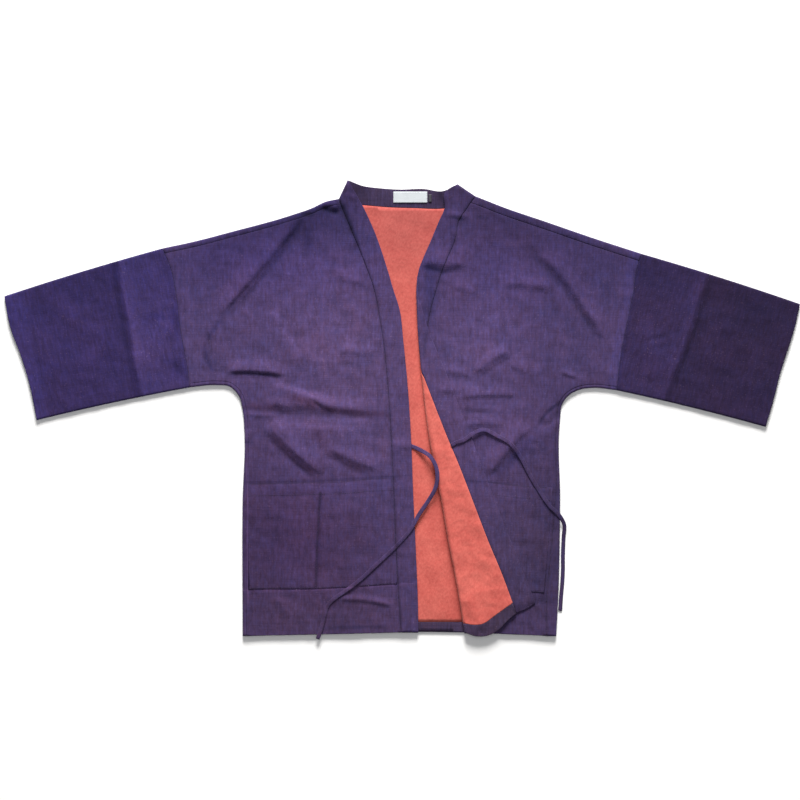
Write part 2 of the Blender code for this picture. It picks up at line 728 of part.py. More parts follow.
def lapel_row(k, y0, y1, steps, round_in, round_out, low, high):
    """One row of the turned back front's fold, a share k / TURNS of the way round it"""
    turn = math.pi * k / TURNS
    row = []
    for i in range(steps + 1):
        y = y0 + (y1 - y0) * i / steps
        x = read(LAPEL, "fold", y)
        below = float(low(x + round_in, y))
        above = float(high(x + round_in, y))
        out = round_in - (round_in - round_out) * math.sin(turn)
        row.append((x + out, y, (below + above) / 2 - (above - below) / 2 * math.cos(turn)))
    return row


def lapel_roll(start, end, round_out, low, high):
    """The fold of a layer of the left front: start and end give y at the low and the high side"""
    rows = []
    steps = max(1, round(abs(start[0] - end[0]) / EDGE_STEP))
    for k in range(TURNS + 1):
        share = k / TURNS
        y0 = start[0] + (start[1] - start[0]) * share
        y1 = end[0] + (end[1] - end[0]) * share
        rows.append(lapel_row(k, y0, y1, steps, LAPEL_ROUND, round_out, low, high))
    return rows


def seam_on_lapel(side):
    """Seam of the band where the front is turned back, moved to one side of it"""
    line = curve([(read(LAPEL, "seam", CROSS_HIGH), CROSS_HIGH)] + LAPEL_SEAM)
    return moved(line, side * GAP / 2)


def make_front_left():
    """Left front: below it lies flat, and past its fold it lies on itself"""
    wide = lambda part: wrap_left(part) + GAP / 2
    side, over = LEFT.side_at(wide), LEFT.shoulder_at(WRAP_SHOULDER_LEFT + GAP / 2)
    shell_high = lambda x, y: lapel_top(x, y, LAPEL_SHELL_LIFT)
    crossing = (CROSS_LOW - CROSS_ROOM, CROSS_HIGH - CROSS_ROOM)
    rows = lapel_roll(crossing, (FOLD_HEM_Y, FOLD_HEM_Y), LAPEL_SHELL_OUT, top, shell_high)
    seam = cut_off(LEFT.front_seam, math.dist(LEFT.front_seam[0], over[-1]))[1:-1]
    low = [p[:2] for p in rows[0]]
    hem = hem_between(low[-1][0], side[0][0])
    loop = side + LEFT.seam_between(over, side)[::-1] + over + seam + low + hem
    lower = fill(loop, top, FOLDS, GRID)
    lapel = [p[:2] for p in rows[-1]] + curve(LAPEL_HEM)[1:] + seam_on_lapel(-1)[:0:-1]
    upper = fill(lapel, shell_high, LAPEL_FOLDS, GRID)
    cloth("front_left", [lower, net(rows), upper], SHELL, CLOTH)

    lift = SHELL / 2 + POCKET_GAP + POCKET / 2
    loop = curve(POCKET_LEFT_TOP) + curve(POCKET_LEFT_LOW)[::-1]
    cloth("pocket_left", [fill(loop, raised(top, lift), FOLDS, GRID)], POCKET, CLOTH)

    lining_low = raised(top, LAPEL_SHELL_LIFT - LAPEL_LINING_LIFT)
    lining_high = lambda x, y: lapel_top(x, y, LAPEL_LINING_LIFT)
    facing_y = FACING_TOP[0][1]
    rows = lapel_roll(crossing, (facing_y + GAP / 2,) * 2, LINING / 2, lining_low, lining_high)
    tuck = lay([(x + TUCK, y) for x, y, _ in rows[0]], lining_low)
    facing = moved(curve(FACING_TOP), GAP / 2)
    seam = [p for p in seam_on_lapel(-1) if p[1] > FACING_TOP[-1][1] + GAP]
    lapel = [p[:2] for p in rows[-1]] + facing[1:] + seam[:0:-1]
    upper = fill(lapel, lining_high, LAPEL_FOLDS, GRID)
    cloth("front_left_lining", [net([tuck] + rows), upper], LINING, RED)

    rows = lapel_roll((facing_y - GAP / 2,) * 2, (FOLD_HEM_Y,) * 2, LINING / 2, lining_low, lining_high)
    tuck = lay([(x + TUCK, y) for x, y, _ in rows[0]], lining_low)
    facing = moved(curve(FACING_TOP), -GAP / 2)
    strip = [p[:2] for p in rows[-1]] + curve(LAPEL_HEM)[1:] + facing[:0:-1]
    upper = fill(strip, lining_high, LAPEL_FOLDS, GRID)
    cloth("front_left_hem", [net([tuck] + rows), upper], LINING, CLOTH_INSIDE)


def curl_rows():
    """The left band's edge curling up, until it is turned over fully, down to its seam"""
    band_high = lambda x, y: lapel_top(x, y, LAPEL_BAND_LIFT)
    rows = []
    for k in range(TURNS + 1):
        last = CROSS_LOW + (CROSS_HIGH - CROSS_LOW) * k / TURNS + CROSS_ROOM
        curl = lapel_row(k, CURL_TOP, CURL_END, CURL_STEPS, LAPEL_ROUND, BAND / 2, band_top, band_high)
        turned = lapel_row(k, CURL_END, last, TURNED_STEPS, LAPEL_ROUND, BAND / 2, band_top, band_high)
        for i, (x, y, z) in enumerate(curl):
            share = i / CURL_STEPS
            flat_x = read(LAPEL, "fold", y) + LAPEL_ROUND * (1 - k / TURNS)
            flat = (flat_x, y, float(band_top(flat_x, y)))
            curl[i] = mixed(flat, (x, y, z), share * share * (3 - 2 * share))
        rows.append(curl + turned[1:])
    return rows


def make_collar_left():
    """Left collar band: it lies flat at the neck, curls up and is turned back further down"""
    rows = neck_roll(LEFT, NECK_WAY_LEFT, COLLAR_WAY_LEFT)
    start = rows[-1]
    curl = curl_rows()
    seam = cut_off(LEFT.band_seam, math.dist(LEFT.band_seam[0], start[0][:2]))[1:-1]
    edge = cut_off(LEFT.free_edge, math.dist(LEFT.free_edge[0], start[-1][:2]))[1:]
    edge = [p for p in edge if p[1] > CURL_TOP + EDGE_STEP / 3]
    first = [row[0][:2] for row in curl[::-1]]
    lower = [p[:2] for p in start] + edge + first[:-1] + [p[:2] for p in curl[0]] + seam[::-1]
    band_high = lambda x, y: lapel_top(x, y, LAPEL_BAND_LIFT)
    turned = [p[:2] for p in curl[-1][CURL_STEPS:]]
    free = column_line([row for row in LAPEL if CURL_END >= row.y > LAPEL_END_Y], "edge")
    upper = turned + seam_on_lapel(1)[1:] + curve(LAPEL_BAND_END)[1:] + free[::-1]
    flat = fill(lower, band_top, FOLDS, GRID)
    over = fill(upper, band_high, LAPEL_FOLDS, GRID)
    cloth("collar_left", [net(rows), flat, net(curl), over], BAND, CLOTH)


def make_collar_back():
    """Back of the collar, lying flat with its inner face up, its label and the size tab"""
    depth = BAND_ROUND + 1.5 * GAP
    end_right = RIGHT.neck_fold_at(depth, NECK_WAY_RIGHT, COLLAR_WAY_RIGHT)
    end_left = LEFT.neck_fold_at(depth, NECK_WAY_LEFT, COLLAR_WAY_LEFT)
    neck = moved(curve(NECK), GAP / 2)[1:-1]
    crown = curve(COLLAR_TOP)[1:-1]
    loop = end_right + crown + end_left[::-1] + neck[::-1]
    cloth("collar_back", [fill(loop, level(COLLAR_BACK_Z))], BAND, CLOTH_INSIDE)

    make_label("label", LABEL_CORNER, LABEL_SIZE, WHITE)
    make_label("size_tab", TAB_CORNER, TAB_SIZE, CLOTH_INSIDE)


def make_label(name, corner, size, colour):
    """A small rectangle of cloth on the back of the collar"""
    x0, y0 = corner
    x1, y1 = x0 + size[0], y0 + size[1]
    height = level(BAND + GAP + LABEL / 2)
    cloth(name, [fill([(x0, y0), (x1, y0), (x1, y1), (x0, y1)], height)], LABEL, colour)


def make_tie(name, route):
    """A flat tie along its route"""
    middle = curve(route, TIE_STEP)
    rows = []
    for i, (x, y, z) in enumerate(middle):
        way = heading(middle[max(i - 1, 0)], middle[min(i + 1, len(middle) - 1)])
        half = TIE_WIDTH / 2
        rows.append([(x - way[1] * side * half, y + way[0] * side * half, z) for side in (-1, 1)])
    cloth(name, [net(rows)], TIE, CLOTH)


for thing in list(bpy.data.objects):
    bpy.data.objects.remove(thing)
jacket = bpy.data.collections.new("noragi_jacket")
bpy.context.scene.collection.children.link(jacket)

RIGHT = Half(
    -1, SIDE_RIGHT, SHOULDER_RIGHT, SLEEVE_SEAM_RIGHT, CUFF_RIGHT,
    NECK_FOLD_RIGHT, BAND_RIGHT, [NECK_FOLD_RIGHT[1]],
)
LEFT = Half(
    1, SIDE_LEFT, SHOULDER_LEFT, SLEEVE_SEAM_LEFT, CUFF_LEFT,
    NECK_FOLD_LEFT, BAND_LEFT, [NECK_FOLD_LEFT[1], (86, 396.5), (77, 389), (75, 382)],
)
NECK_WAY_RIGHT = heading(NECK_FOLD_RIGHT[0], NECK[1])
NECK_WAY_LEFT = heading(NECK_FOLD_LEFT[0], NECK[-2])
COLLAR_WAY_RIGHT = heading(COLLAR_TOP[0], COLLAR_TOP[1])
COLLAR_WAY_LEFT = heading(COLLAR_TOP[-1], COLLAR_TOP[-2])

make_back()
make_front_right()
make_front_left()
make_sleeve("sleeve_right", RIGHT)
make_sleeve("sleeve_left", LEFT)
make_collar_right()
make_collar_left()
make_collar_back()
make_tie("tie_right", TIE_RIGHT)
make_tie("tie_left", TIE_LEFT)
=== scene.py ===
"""Looks of the noragi jacket that lies flat: fine cloth, seams, stitches, ties, light and camera.

Numbers are millimetres until surface_mesh() makes the meshes. X runs to the sleeves, Y to the neck
and Z up from the surface. Right and left are the wearer's, so the right front lies at -X.
"""

import math
from collections import namedtuple

import bmesh
import bpy
import numpy as np
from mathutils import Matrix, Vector, geometry


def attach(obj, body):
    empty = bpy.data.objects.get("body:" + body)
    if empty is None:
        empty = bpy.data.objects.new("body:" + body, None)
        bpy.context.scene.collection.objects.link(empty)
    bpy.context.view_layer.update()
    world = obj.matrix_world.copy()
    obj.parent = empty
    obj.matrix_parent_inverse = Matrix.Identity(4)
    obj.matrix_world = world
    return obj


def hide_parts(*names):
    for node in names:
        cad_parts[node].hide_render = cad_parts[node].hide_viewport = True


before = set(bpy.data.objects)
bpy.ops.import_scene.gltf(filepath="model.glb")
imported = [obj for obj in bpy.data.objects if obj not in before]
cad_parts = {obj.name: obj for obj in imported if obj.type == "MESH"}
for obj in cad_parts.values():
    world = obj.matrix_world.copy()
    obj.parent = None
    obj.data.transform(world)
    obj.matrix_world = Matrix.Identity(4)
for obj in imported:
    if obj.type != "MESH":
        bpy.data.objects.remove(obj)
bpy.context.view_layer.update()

MM = 0.001
PERCENT = 100

# Thickness of the cloths, and the room between two pieces that touch
SHELL = 1.6
LINING = 1.2
BAND = 2.4
POCKET = 1.2
TIE = 1.6
LABEL = 1.0
GAP = 0.3
POCKET_GAP = 0.15

# Middle heights of the layers. The large troughs of the fronts and sleeves stop at LOWEST.
BACK_Z = SHELL / 2
COLLAR_BACK_Z = BAND / 2
BACK_LINING_Z = SHELL + GAP + LINING / 2
REST = 6.2
LOWEST = 4.5
BAND_PROUD = 0.3

# How far in from a round edge the cloth lies flat again, and how far in from the fold the lapel's
# outer cloth turns, inside its lining
ROUND = 3.5
BAND_ROUND = 3.85
COLLAR_BACK_INSET = BAND_ROUND + 1.5 * GAP
LAPEL_ROUND = 4.5
LAPEL_SHELL_OUT = LINING + GAP + SHELL / 2

# Heights of the lapel's layers above the front that it lies on, and of its deepest trough
LAPEL_SHELL_LIFT = 4.4
LAPEL_LINING_LIFT = LAPEL_SHELL_LIFT + SHELL / 2 + GAP + LINING / 2
LAPEL_BAND_LIFT = 5.2
LAPEL_LOWEST = -0.9
# How far in from the outline the back's lining ends, and how far the lapel's is tucked in
LINING_INSET = 8.0
TUCK = 16.0

# Steps of the nets, points round a folded edge, and rows where the left band curls and below
EDGE_STEP = 3.6
GRID = 3.3
COARSE = 24.0
LINING_GRID = 6.5
TIE_STEP = 3.0
LABEL_STEP = 1.5
LABEL_GRID = 1.6
TURNS = 8
SHARES = np.arange(TURNS + 1) / TURNS
CURL_STEPS = 16
TURNED_STEPS = 32
# Rows of points inside an outline, for the dip at a seam, and across the cloth that reaches round
EDGE_ROWS = (1.3, 3.0)
WRAP_ROWS = (0.35, 0.62, 0.85, 1)
# How far points of a grid and of a row keep clear of an outline, as shares of step and depth
GRID_ROOM = 0.4
ROW_ROOM = 0.8
# The hem's points keep this far from its corners, and points this close are joined
CORNER_ROOM = 5.0
WELD = 0.02
# Distances to outlines are worked out this far
NEAR = 40.0
# Share of a fold's length over which each end fades, on the fronts and on the lapel
FADE = 0.22
LAPEL_FADE = 0.3

# Swells: how far and how slowly each wave bends, and how much lower the short ones are
SWELL_BEND = 1.3
SWELL_SLOW = 2.3
SWELL_POWER = 0.7
# A seam draws the cloth down beside it, and its allowance lifts it a share of that further on
SEAM_WIDTH = 1.5
ALLOWANCE_RISE = 0.2
ALLOWANCE_AWAY = 6.5
ALLOWANCE_WIDTH = 3.5
# The band's seam on the lapel is this deep in the band, and this share of it in the lining
LAPEL_SEAM_DEPTH = 0.8
LAPEL_LINING_SHARE = 0.6
# How far the turned back band's free edge sags, and how far sewing draws a pocket down
LAPEL_SAG = 1.8
LAPEL_SAG_WIDTH = 9.0
LAPEL_SAG_FADE = 60
POCKET_SEWN = 0.5
POCKET_SEWN_WIDTH = 2.2
# A pressed edge has this share of its cloth's thickness
PRESSED_SHARE = 0.36
PRESSED_WIDTH = 3.0
# Painted shade: how much darker a pocket is along its open edge and its divider, and the cloth beside a seam
RIM_SHADE = 0.55
RIM_WIDTH = 2.2
SEAM_SHADE = 0.36
SEAM_SHADE_WIDTH = 3.2

# Ties: width, points round their section, how far they tilt and over which lengths, how rounded
# they are across and up, the seam's distance from the edge and height, and the tip's length
TIE_WIDTH = 7.2
TIE_SIDES = 12
TIE_TILT = 0.22
TIE_WAVES = (47, 19)
TIE_ROUNDING = (0.6, 0.8)
TIE_SEAM = 1.2
TIE_SEAM_LIFT = 0.02
TIE_POINT = 0.4
# Below this height a tie lies on the floor or on the lining, and above twice that on the fronts
TIE_LOW = 4.0

# Stitches: distance from one to the next, length, thickness, how wide and how low their ends are
# as shares of that, the corners of their section, and the places of their rings along them
STITCH_PITCH = 3.2
STITCH_LONG = 2.3
STITCH_THICK = 0.28
STITCH_WIDE = 0.62
STITCH_LOW = 0.4
STITCH_TURNS = (0.3, 1.55, 2.84, 4.1, 5.3)
STITCH_SHARES = (0, 0.22, 0.78, 1)
STITCH_LIFT = 0.1
SEAM_STEP = 3.0
# Distances of the seams of label and pockets from their edges
LABEL_SEAM = 1.3
POCKET_HEM = 22.0
POCKET_SEAM = 2.2

# Colours in linear light: dark, bluish and reddish yarns
OUTER_COLOURS = ((0.0137, 0.0087, 0.032), (0.0462, 0.0349, 0.1154), (0.0714, 0.0382, 0.0999))
# The sleeves' yarns are darker, partly in the cloth itself and partly as painted shade where the light falls
# off towards the cuffs
RIGHT_SLEEVE_COLOURS = ((0.009, 0.0061, 0.029), (0.0302, 0.0227, 0.105), (0.046, 0.0262, 0.0906))
LEFT_SLEEVE_COLOURS = ((0.0062, 0.0037, 0.018), (0.0216, 0.0156, 0.064), (0.034, 0.017, 0.056))
INSIDE_COLOURS = ((0.017, 0.011, 0.032), (0.0415, 0.0305, 0.078), (0.061, 0.033, 0.068))
FLECK_COLOUR = (0.30, 0.19, 0.30)
CORAL_DEEP = (0.43, 0.066, 0.055)
CORAL_PALE = (0.59, 0.128, 0.102)
LABEL_COLOUR = (0.46, 0.49, 0.52)
TAB_COLOUR = (0.022, 0.018, 0.030)
THREAD_COLOUR = (0.034, 0.024, 0.064)
# Painted light on the folds' ridges and painted shade in their hollows: how strong it is, how much more small
# creases count, and its tint
FOLD_PAINTED_LIGHT = 0.25
CREASE_PAINTED_LIGHT_SHARE = 2.2
FOLD_PAINTED_LIGHT_TINT = (1.0, 0.85, 0.75)
# How much bolder the folds are than in the solids
FOLD_GAIN = 1.2

# Widths and lengths of the flat cuts in metres, and areas of a piece's one side in square metres
CUTS = {
    "back": ((0.90, 0.82), 0.52),
    "back_lining": ((0.86, 0.76), 0.475),
    "back_hem": ((0.55, 0.026), 0.012),
    "front_right": ((0.42, 0.79), 0.221),
    "front_left": ((0.42, 0.80), 0.214),
    "front_left_lining": ((0.15, 0.47), 0.0354),
    "front_left_hem": ((0.125, 0.035), 0.0028),
    "pocket_right": ((0.27, 0.196), None),
    "pocket_left": ((0.186, 0.20), 0.0325),
    "collar_right": ((0.06, 0.82), 0.0307),
    "collar_left": ((0.06, 0.86), 0.033),
    "collar_back": ((0.22, 0.048), 0.0081),
}

# Soft lights: name, place in metres, size, power and colour
LAMPS = (
    ("key", (0.1, 4.8, 2.5), 2.6, 690, (1.0, 0.985, 0.96)),
    ("fill", (0.0, 0.0, 2.8), 1.8, 17, (0.97, 0.98, 1.0)),
)
WORLD_LIGHT = 0.21
FLOOR_GREY = 0.93
FLOOR_REACH = 6.0
FLOOR_DROP = 0.0003
# The camera sees this width, round this point, both in metres
VIEW_WIDTH = 1.44
VIEW_MIDDLE = (-0.00405, 0.0153)
CAMERA_LENS = 100
CAMERA_SENSOR = 36


def table(columns, *rows):
    """Rows of numbers with named columns"""
    row = namedtuple("Row", columns)
    return [row(*values) for values in rows]


def folds(*rows):
    """Folds from x0, y0 to x1, y1 that bow to their left by bow. Their sides slope away over the
    widths left and right, and rise is negative for a trough."""
    return table("x0 y0 x1 y1 bow left right rise", *rows)


def streaks(*rows):
    """The same lines with the gain of red, green and blue in percent"""
    return table("x0 y0 x1 y1 bow left right red green blue", *rows)


# Outlines of the body, from the hem up to the sleeve and from the sleeve to the neck
SIDE_RIGHT = [
    (-287, -409), (-287, -165), (-284, -40), (-287, -4), (-295, 24), (-310, 39), (-335, 42), (-382, 38),
]
SIDE_LEFT = [
    (277, -409), (281, -330), (284, -165), (284, -20), (288, 8), (299, 23), (320, 34), (342, 37), (385, 33),
]
SHOULDER_RIGHT = [(-431, 288), (-371, 301), (-306, 318), (-198, 348), (-161, 361), (-137, 372), (-114, 377)]
SHOULDER_LEFT = [(431, 278), (342, 307), (255, 337), (190, 359), (131, 382)]
HEM = [(-287, -409), (-60, -404), (30, -402), (110, -403), (277, -409)]
NECK = [(-113, 374), (-95, 368), (-72, 366), (-26, 362), (20, 360.5), (77, 360), (108, 366), (130, 379)]
COLLAR_TOP = [(-98, 411), (-69, 400), (-47, 397), (-4, 394), (39, 395), (72, 391), (100, 403)]

# Seams between the body and the sleeves, and the cuffs, both from the top edge down
SLEEVE_SEAM_RIGHT = [(-431, 288), (-416, 251), (-405, 193), (-398, 136), (-387, 78), (-382, 38)]
SLEEVE_SEAM_LEFT = [(431, 278), (423, 257), (414, 201), (402, 143), (393, 96), (385, 33)]
CUFF_RIGHT = [(-715, 202), (-706, 152), (-683, 87), (-670, 44), (-657, -21)]
CUFF_LEFT = [(715, 188), (707, 152), (694, 109), (680, 66), (669, 22), (653, -33)]
# The sleeves' long edges bow up a little between the seam and the cuff
SLEEVE_BULGE = 2.2

# How far in from the outline the back's cloth reaches round onto the front. The sides have
# shares of the way from hem to sleeve and the widths there. The left one is wider near the hem.
WRAP_SIDE_RIGHT = [(0, 7)]
WRAP_SIDE_LEFT = [(0, 18), (0.14, 21), (0.34, 13.5), (0.53, 6), (1, 6)]
WRAP_SHOULDER_RIGHT = 10.0
WRAP_SHOULDER_LEFT = 14.0

# The right collar band: its seam to the front, and its free edge
BAND_RIGHT = table(
    "y seam edge",
    (366, -110, -72),
    (323, -92, -52),
    (256, -65, -28.5),
    (217, -51, -17),
    (172, -42, -3.5),
    (130, -35, 1),
    (44, -26, 9.5),
    (-57, -19.5, 16),
    (-150, -15, 19.5),
    (-258, -10.5, 24.5),
    (-345, -5.5, 28),
    (-402.7, -2, 29),
)
# The left collar band above its fold, where its outer face shows
BAND_LEFT = table(
    "y seam edge",
    (360, 116, 76),
    (339, 102, 67),
    (303, 95, 52),
    (273, 82, 39),
    (246, 71, 28.5),
    (217, 62, 25),
    (190, 54, 25.5),
    (145, 45, 27.5),
    (79, 37.7, 33),
)
# The left front turned back: the fold, the seam of its band, and the band's free edge
LAPEL = table(
    "y fold seam edge",
    (273, 39, 39, 39),
    (246, 28.5, 31, 28.5),
    (217, 25, 31, 25),
    (190, 25.5, 31, 32.5),
    (145, 27.5, 32, 46),
    (66, 34, 36, 78),
    (22, 38.5, 52, 95),
    (-42, 46.5, 77, 121),
    (-107, 58, 104, 144),
    (-172, 71, 129, 169.5),
    (-237, 82, 154, 195),
    (-302, 95, 181, 221),
    (-348, 103, 198, 239),
    (-366, 106, 205, 246),
    (-420, 114, 226, 267),
)
# The band curls up here, is turned over fully here, and here its seam crosses the fold
CURL_TOP = 262.0
CURL_END = 190.0
CROSS_LOW = 79.0
CROSS_HIGH = 56.0
# Clearance along the fold between the band and the front, where their seam runs round it
CROSS_ROOM = 1.6
# The fold meets the hem here, and the band's corner lies here
FOLD_HEM_Y = -403.5
LAPEL_END_Y = -349.0
# Seam of the band on the lapel below where it crosses the fold
LAPEL_SEAM = [
    (52, 22), (77, -42), (104, -107), (129, -172), (154, -237), (181, -302), (198, -348), (205, -367),
]

# Start of the left band's free edge
BAND_LEFT_START = [(100, 403), (86, 396.5), (77, 389), (75, 382)]

# Ends of the two places where the band turns over at the neck: seam side, then free side
NECK_FOLD_RIGHT = ((-114, 377), (-98, 411))
NECK_FOLD_LEFT = ((131, 382), (100, 403))
# Share of their length that they reach over the shoulder's end
NECK_ROOM = -0.02

# Hem of the lapel from the fold to the corner of the band, and its facing's upper edge
LAPEL_HEM = [(116, -403.5), (131, -408.5), (151, -408), (171, -399), (189, -381), (205, -367)]
LAPEL_BAND_END = [(205, -367), (228, -357), (239, -349)]
FACING_TOP = [(113.5, -386), (126, -388), (142, -387), (170, -369), (198, -349)]
BACK_FACING_Y = -384.0

# Large folds of the outer cloth, as in the solids
FOLDS = folds(
    # Right front, soft swells
    (-215, 290, -110, 40, 20, 60, 60, 1.6),
    (-250, -60, -40, -40, 0, 60, 70, 1),
    (-150, -150, -140, -390, 0, 70, 70, 0.9),
    # Right front, from the neck to the armhole
    (-172, 356, -340, 160, 4, 5, 26, 3.2),
    (-164, 346, -326, 148, 4, 8, 5, -1.6),
    (-139, 364, -114, 350, 0, 8, 7, -1.7),
    (-107, 372, -84, 310, 0, 5, 9, -1.7),
    (-164, 368, -109, 363, 1, 6, 10, 1.8),
    (-173, 330, -173, 262, 0, 12, 12, -1),
    (-247, 195, -166, 78, -8, 8, 18, 1.8),
    (-128, 240, -66, 224, 2, 16, 8, 1.6),
    (-118, 104, -48, 98, 2, 12, 7, 1.5),
    # Right front, under the arm
    (-359, 98, -310, 62, -8, 12, 6, -1.6),
    (-322, 68, -204, 62, 3, 18, 4, 3),
    (-316, 57, -210, 52, 2, 4, 6, -1.6),
    (-240, 41, -146, 11, 4, 6, 14, 3.2),
    (-176, 20, -118, -4, 2, 12, 5, 1.8),
    (-272, 10, -38, -6, 4, 14, 8, 2.4),
    (-268, -10, -50, -18, 3, 7, 8, -1.2),
    (-262, -36, -60, -44, 3, 9, 20, 1.8),
    (-286, -8, -224, -12, -2, 4, 8, 1.5),
    (-274, -36, -279, -62, 0, 8, 8, 1.4),
    # Right front, over the pocket and near the hem
    (-245, -22, -137, -120, -5, 16, 6, 2.8),
    (-258, -36, -148, -134, -5, 5, 7, -1),
    (-134, -66, -38, -110, -3, 16, 6, 2.4),
    (-144, -80, -48, -126, -3, 5, 7, -1),
    (-122, -342, -8, -356, 5, 7, 5, 2),
    # The tie's end lifts the right band
    (-24, -62, 34, -70, 0, 9, 9, 1.4),
    # Left front, soft swells
    (230, 270, 150, 40, 0, 60, 60, 1.6),
    (200, 20, 225, -90, 0, 40, 40, 1.2),
    (215, -130, 225, -300, 0, 40, 30, 0.8),
    # Left front, across the chest
    (246, 286, 362, 128, 8, 24, 6, 2.8),
    (238, 276, 350, 118, 8, 5, 6, -1),
    (34, 266, 124, 262, -2, 16, 7, 2.4),
    (32, 252, 112, 246, -3, 5, 8, -1.2),
    (90, 222, 136, 212, 0, 12, 7, 1.4),
    (180, 226, 270, 216, 3, 14, 8, 1.8),
    (100, 330, 112, 270, 0, 14, 14, 1.4),
    (126, 62, 194, 107, 3, 14, 6, 2.4),
    (134, 50, 202, 94, 3, 4, 6, -1),
    (66, 72, 128, 60, 0, 12, 7, 1.5),
    (190, 84, 256, 64, -3, 14, 8, 1.6),
    (60, 34, 150, 30, 3, 12, 8, 1.4),
    (92, 20, 214, 24, 3, 10, 4, 1.8),
    (104, -8, 160, -11, 2, 7, 6, -1.4),
    (112, -26, 180, -28, 2, 10, 6, 1.8),
    # Left front, under the arm and near the hem
    (283, 68, 314, 57, -1, 8, 3, 1.6),
    (291, 8, 244, -34, 9, 6, 8, -1.7),
    (276, -14, 236, -66, 0, 14, 16, 2),
    (238, -24, 148, -124, -3, 7, 20, 2.6),
    (228, -38, 152, -134, -3, 7, 5, -1.2),
    (239, -342, 259, -392, 0, 10, 10, -1),
    # Sleeves: the pressed crease, and soft folds near the seam and the cuff
    (-512, 272, -468, 24, -4, 16, 5, 2.4),
    (-520, 270, -477, 28, -4, 5, 10, -0.9),
    (-600, 200, -560, 60, 10, 30, 30, 1.2),
    (-430, 180, -470, 60, 10, 20, 20, 1.4),
    (-640, 150, -620, 30, 0, 24, 24, 1),
    (551, 250, 477, 34, 5, 5, 16, 2.4),
    (560, 248, 486, 34, 5, 10, 5, -0.9),
    (600, 190, 560, 60, -8, 30, 30, 1.2),
    (430, 170, 470, 50, -8, 20, 20, 1.4),
    (650, 140, 625, 20, 0, 24, 24, 1),
)
# Height of the folds of the lapel, over the front that it lies on
LAPEL_FOLDS = folds(
    (95, -320, 122, -400, 0, 9, 6, -1.2),
    (116, -320, 146, -412, 0, 14, 18, 2.6),
    (70, -60, 150, -260, 6, 14, 18, 1),
)

# The ties lie on the jacket: x, y and z of their middle line
TIE_RIGHT = [
    (-8, -63, 4.6), (6, -65, 4.6), (20, -69, 4.8), (35, -76, 8), (48, -84, 13.6), (60, -103, 15.8),
    (63, -125, 15.8), (58, -146, 14), (46, -167, 9.4), (31, -189, 8.6), (15, -217, 9.5),
    (-12, -248, 9.8), (-45, -279, 10.6), (-74, -306, 10.7), (-104, -329, 10.4), (-123, -342, 9.6),
    (-134, -354, 9.2), (-140, -373, 9), (-146, -397, 8.9), (-152, -414, 8.4),
]
TIE_LEFT = [
    (88, -66, 14.6), (97, -61, 14.9), (110, -57, 14.6), (127, -45, 13.3), (146, -38, 10.8),
    (168, -48, 10.8), (195, -64, 12), (213, -88, 10), (229, -119, 9.6), (247, -149, 10.2),
    (266, -176, 10), (282, -192, 9.2), (291.2, -209, 5.4), (290.4, -230, 2.2), (289.2, -262, 1.4),
    (289, -292, 1.3), (287.6, -318, 1.3), (285.4, -343, 1.3), (284.2, -364, 1.3),
]

# Pockets: corners of the right one, and the left one's edges where it shows
POCKET_RIGHT_TOP = [(-277, -135), (-220, -133.5), (-152, -132), (-114, -131), (-68, -127), (-18, -124)]
POCKET_RIGHT_LOW = [(-277, -325), (-166, -324), (-112, -322), (-63, -319), (-9, -315)]
POCKET_LEFT_TOP = [(86, -126), (153, -131), (200, -137), (270, -142)]
POCKET_LEFT_LOW = [(112, -328), (180, -329), (255, -331)]
# The right pocket's divider, from its hem down
DIVIDER = [(-147, -152), (-149, -177), (-151, -212), (-153, -248), (-155, -320)]
# The seam of the lapel's hem, below the hem's upper edge
FACING_SEAM = 1.0

# Label and size tab: lower left corners and sizes, and the label's middle height and waves
LABEL_CORNER = (-16, 370)
LABEL_SIZE = (61, 20)
TAB_CORNER = (47, 371)
TAB_SIZE = (6, 14)
LABEL_Z = BAND + GAP + LABEL / 2
LABEL_WAVE = 0.5

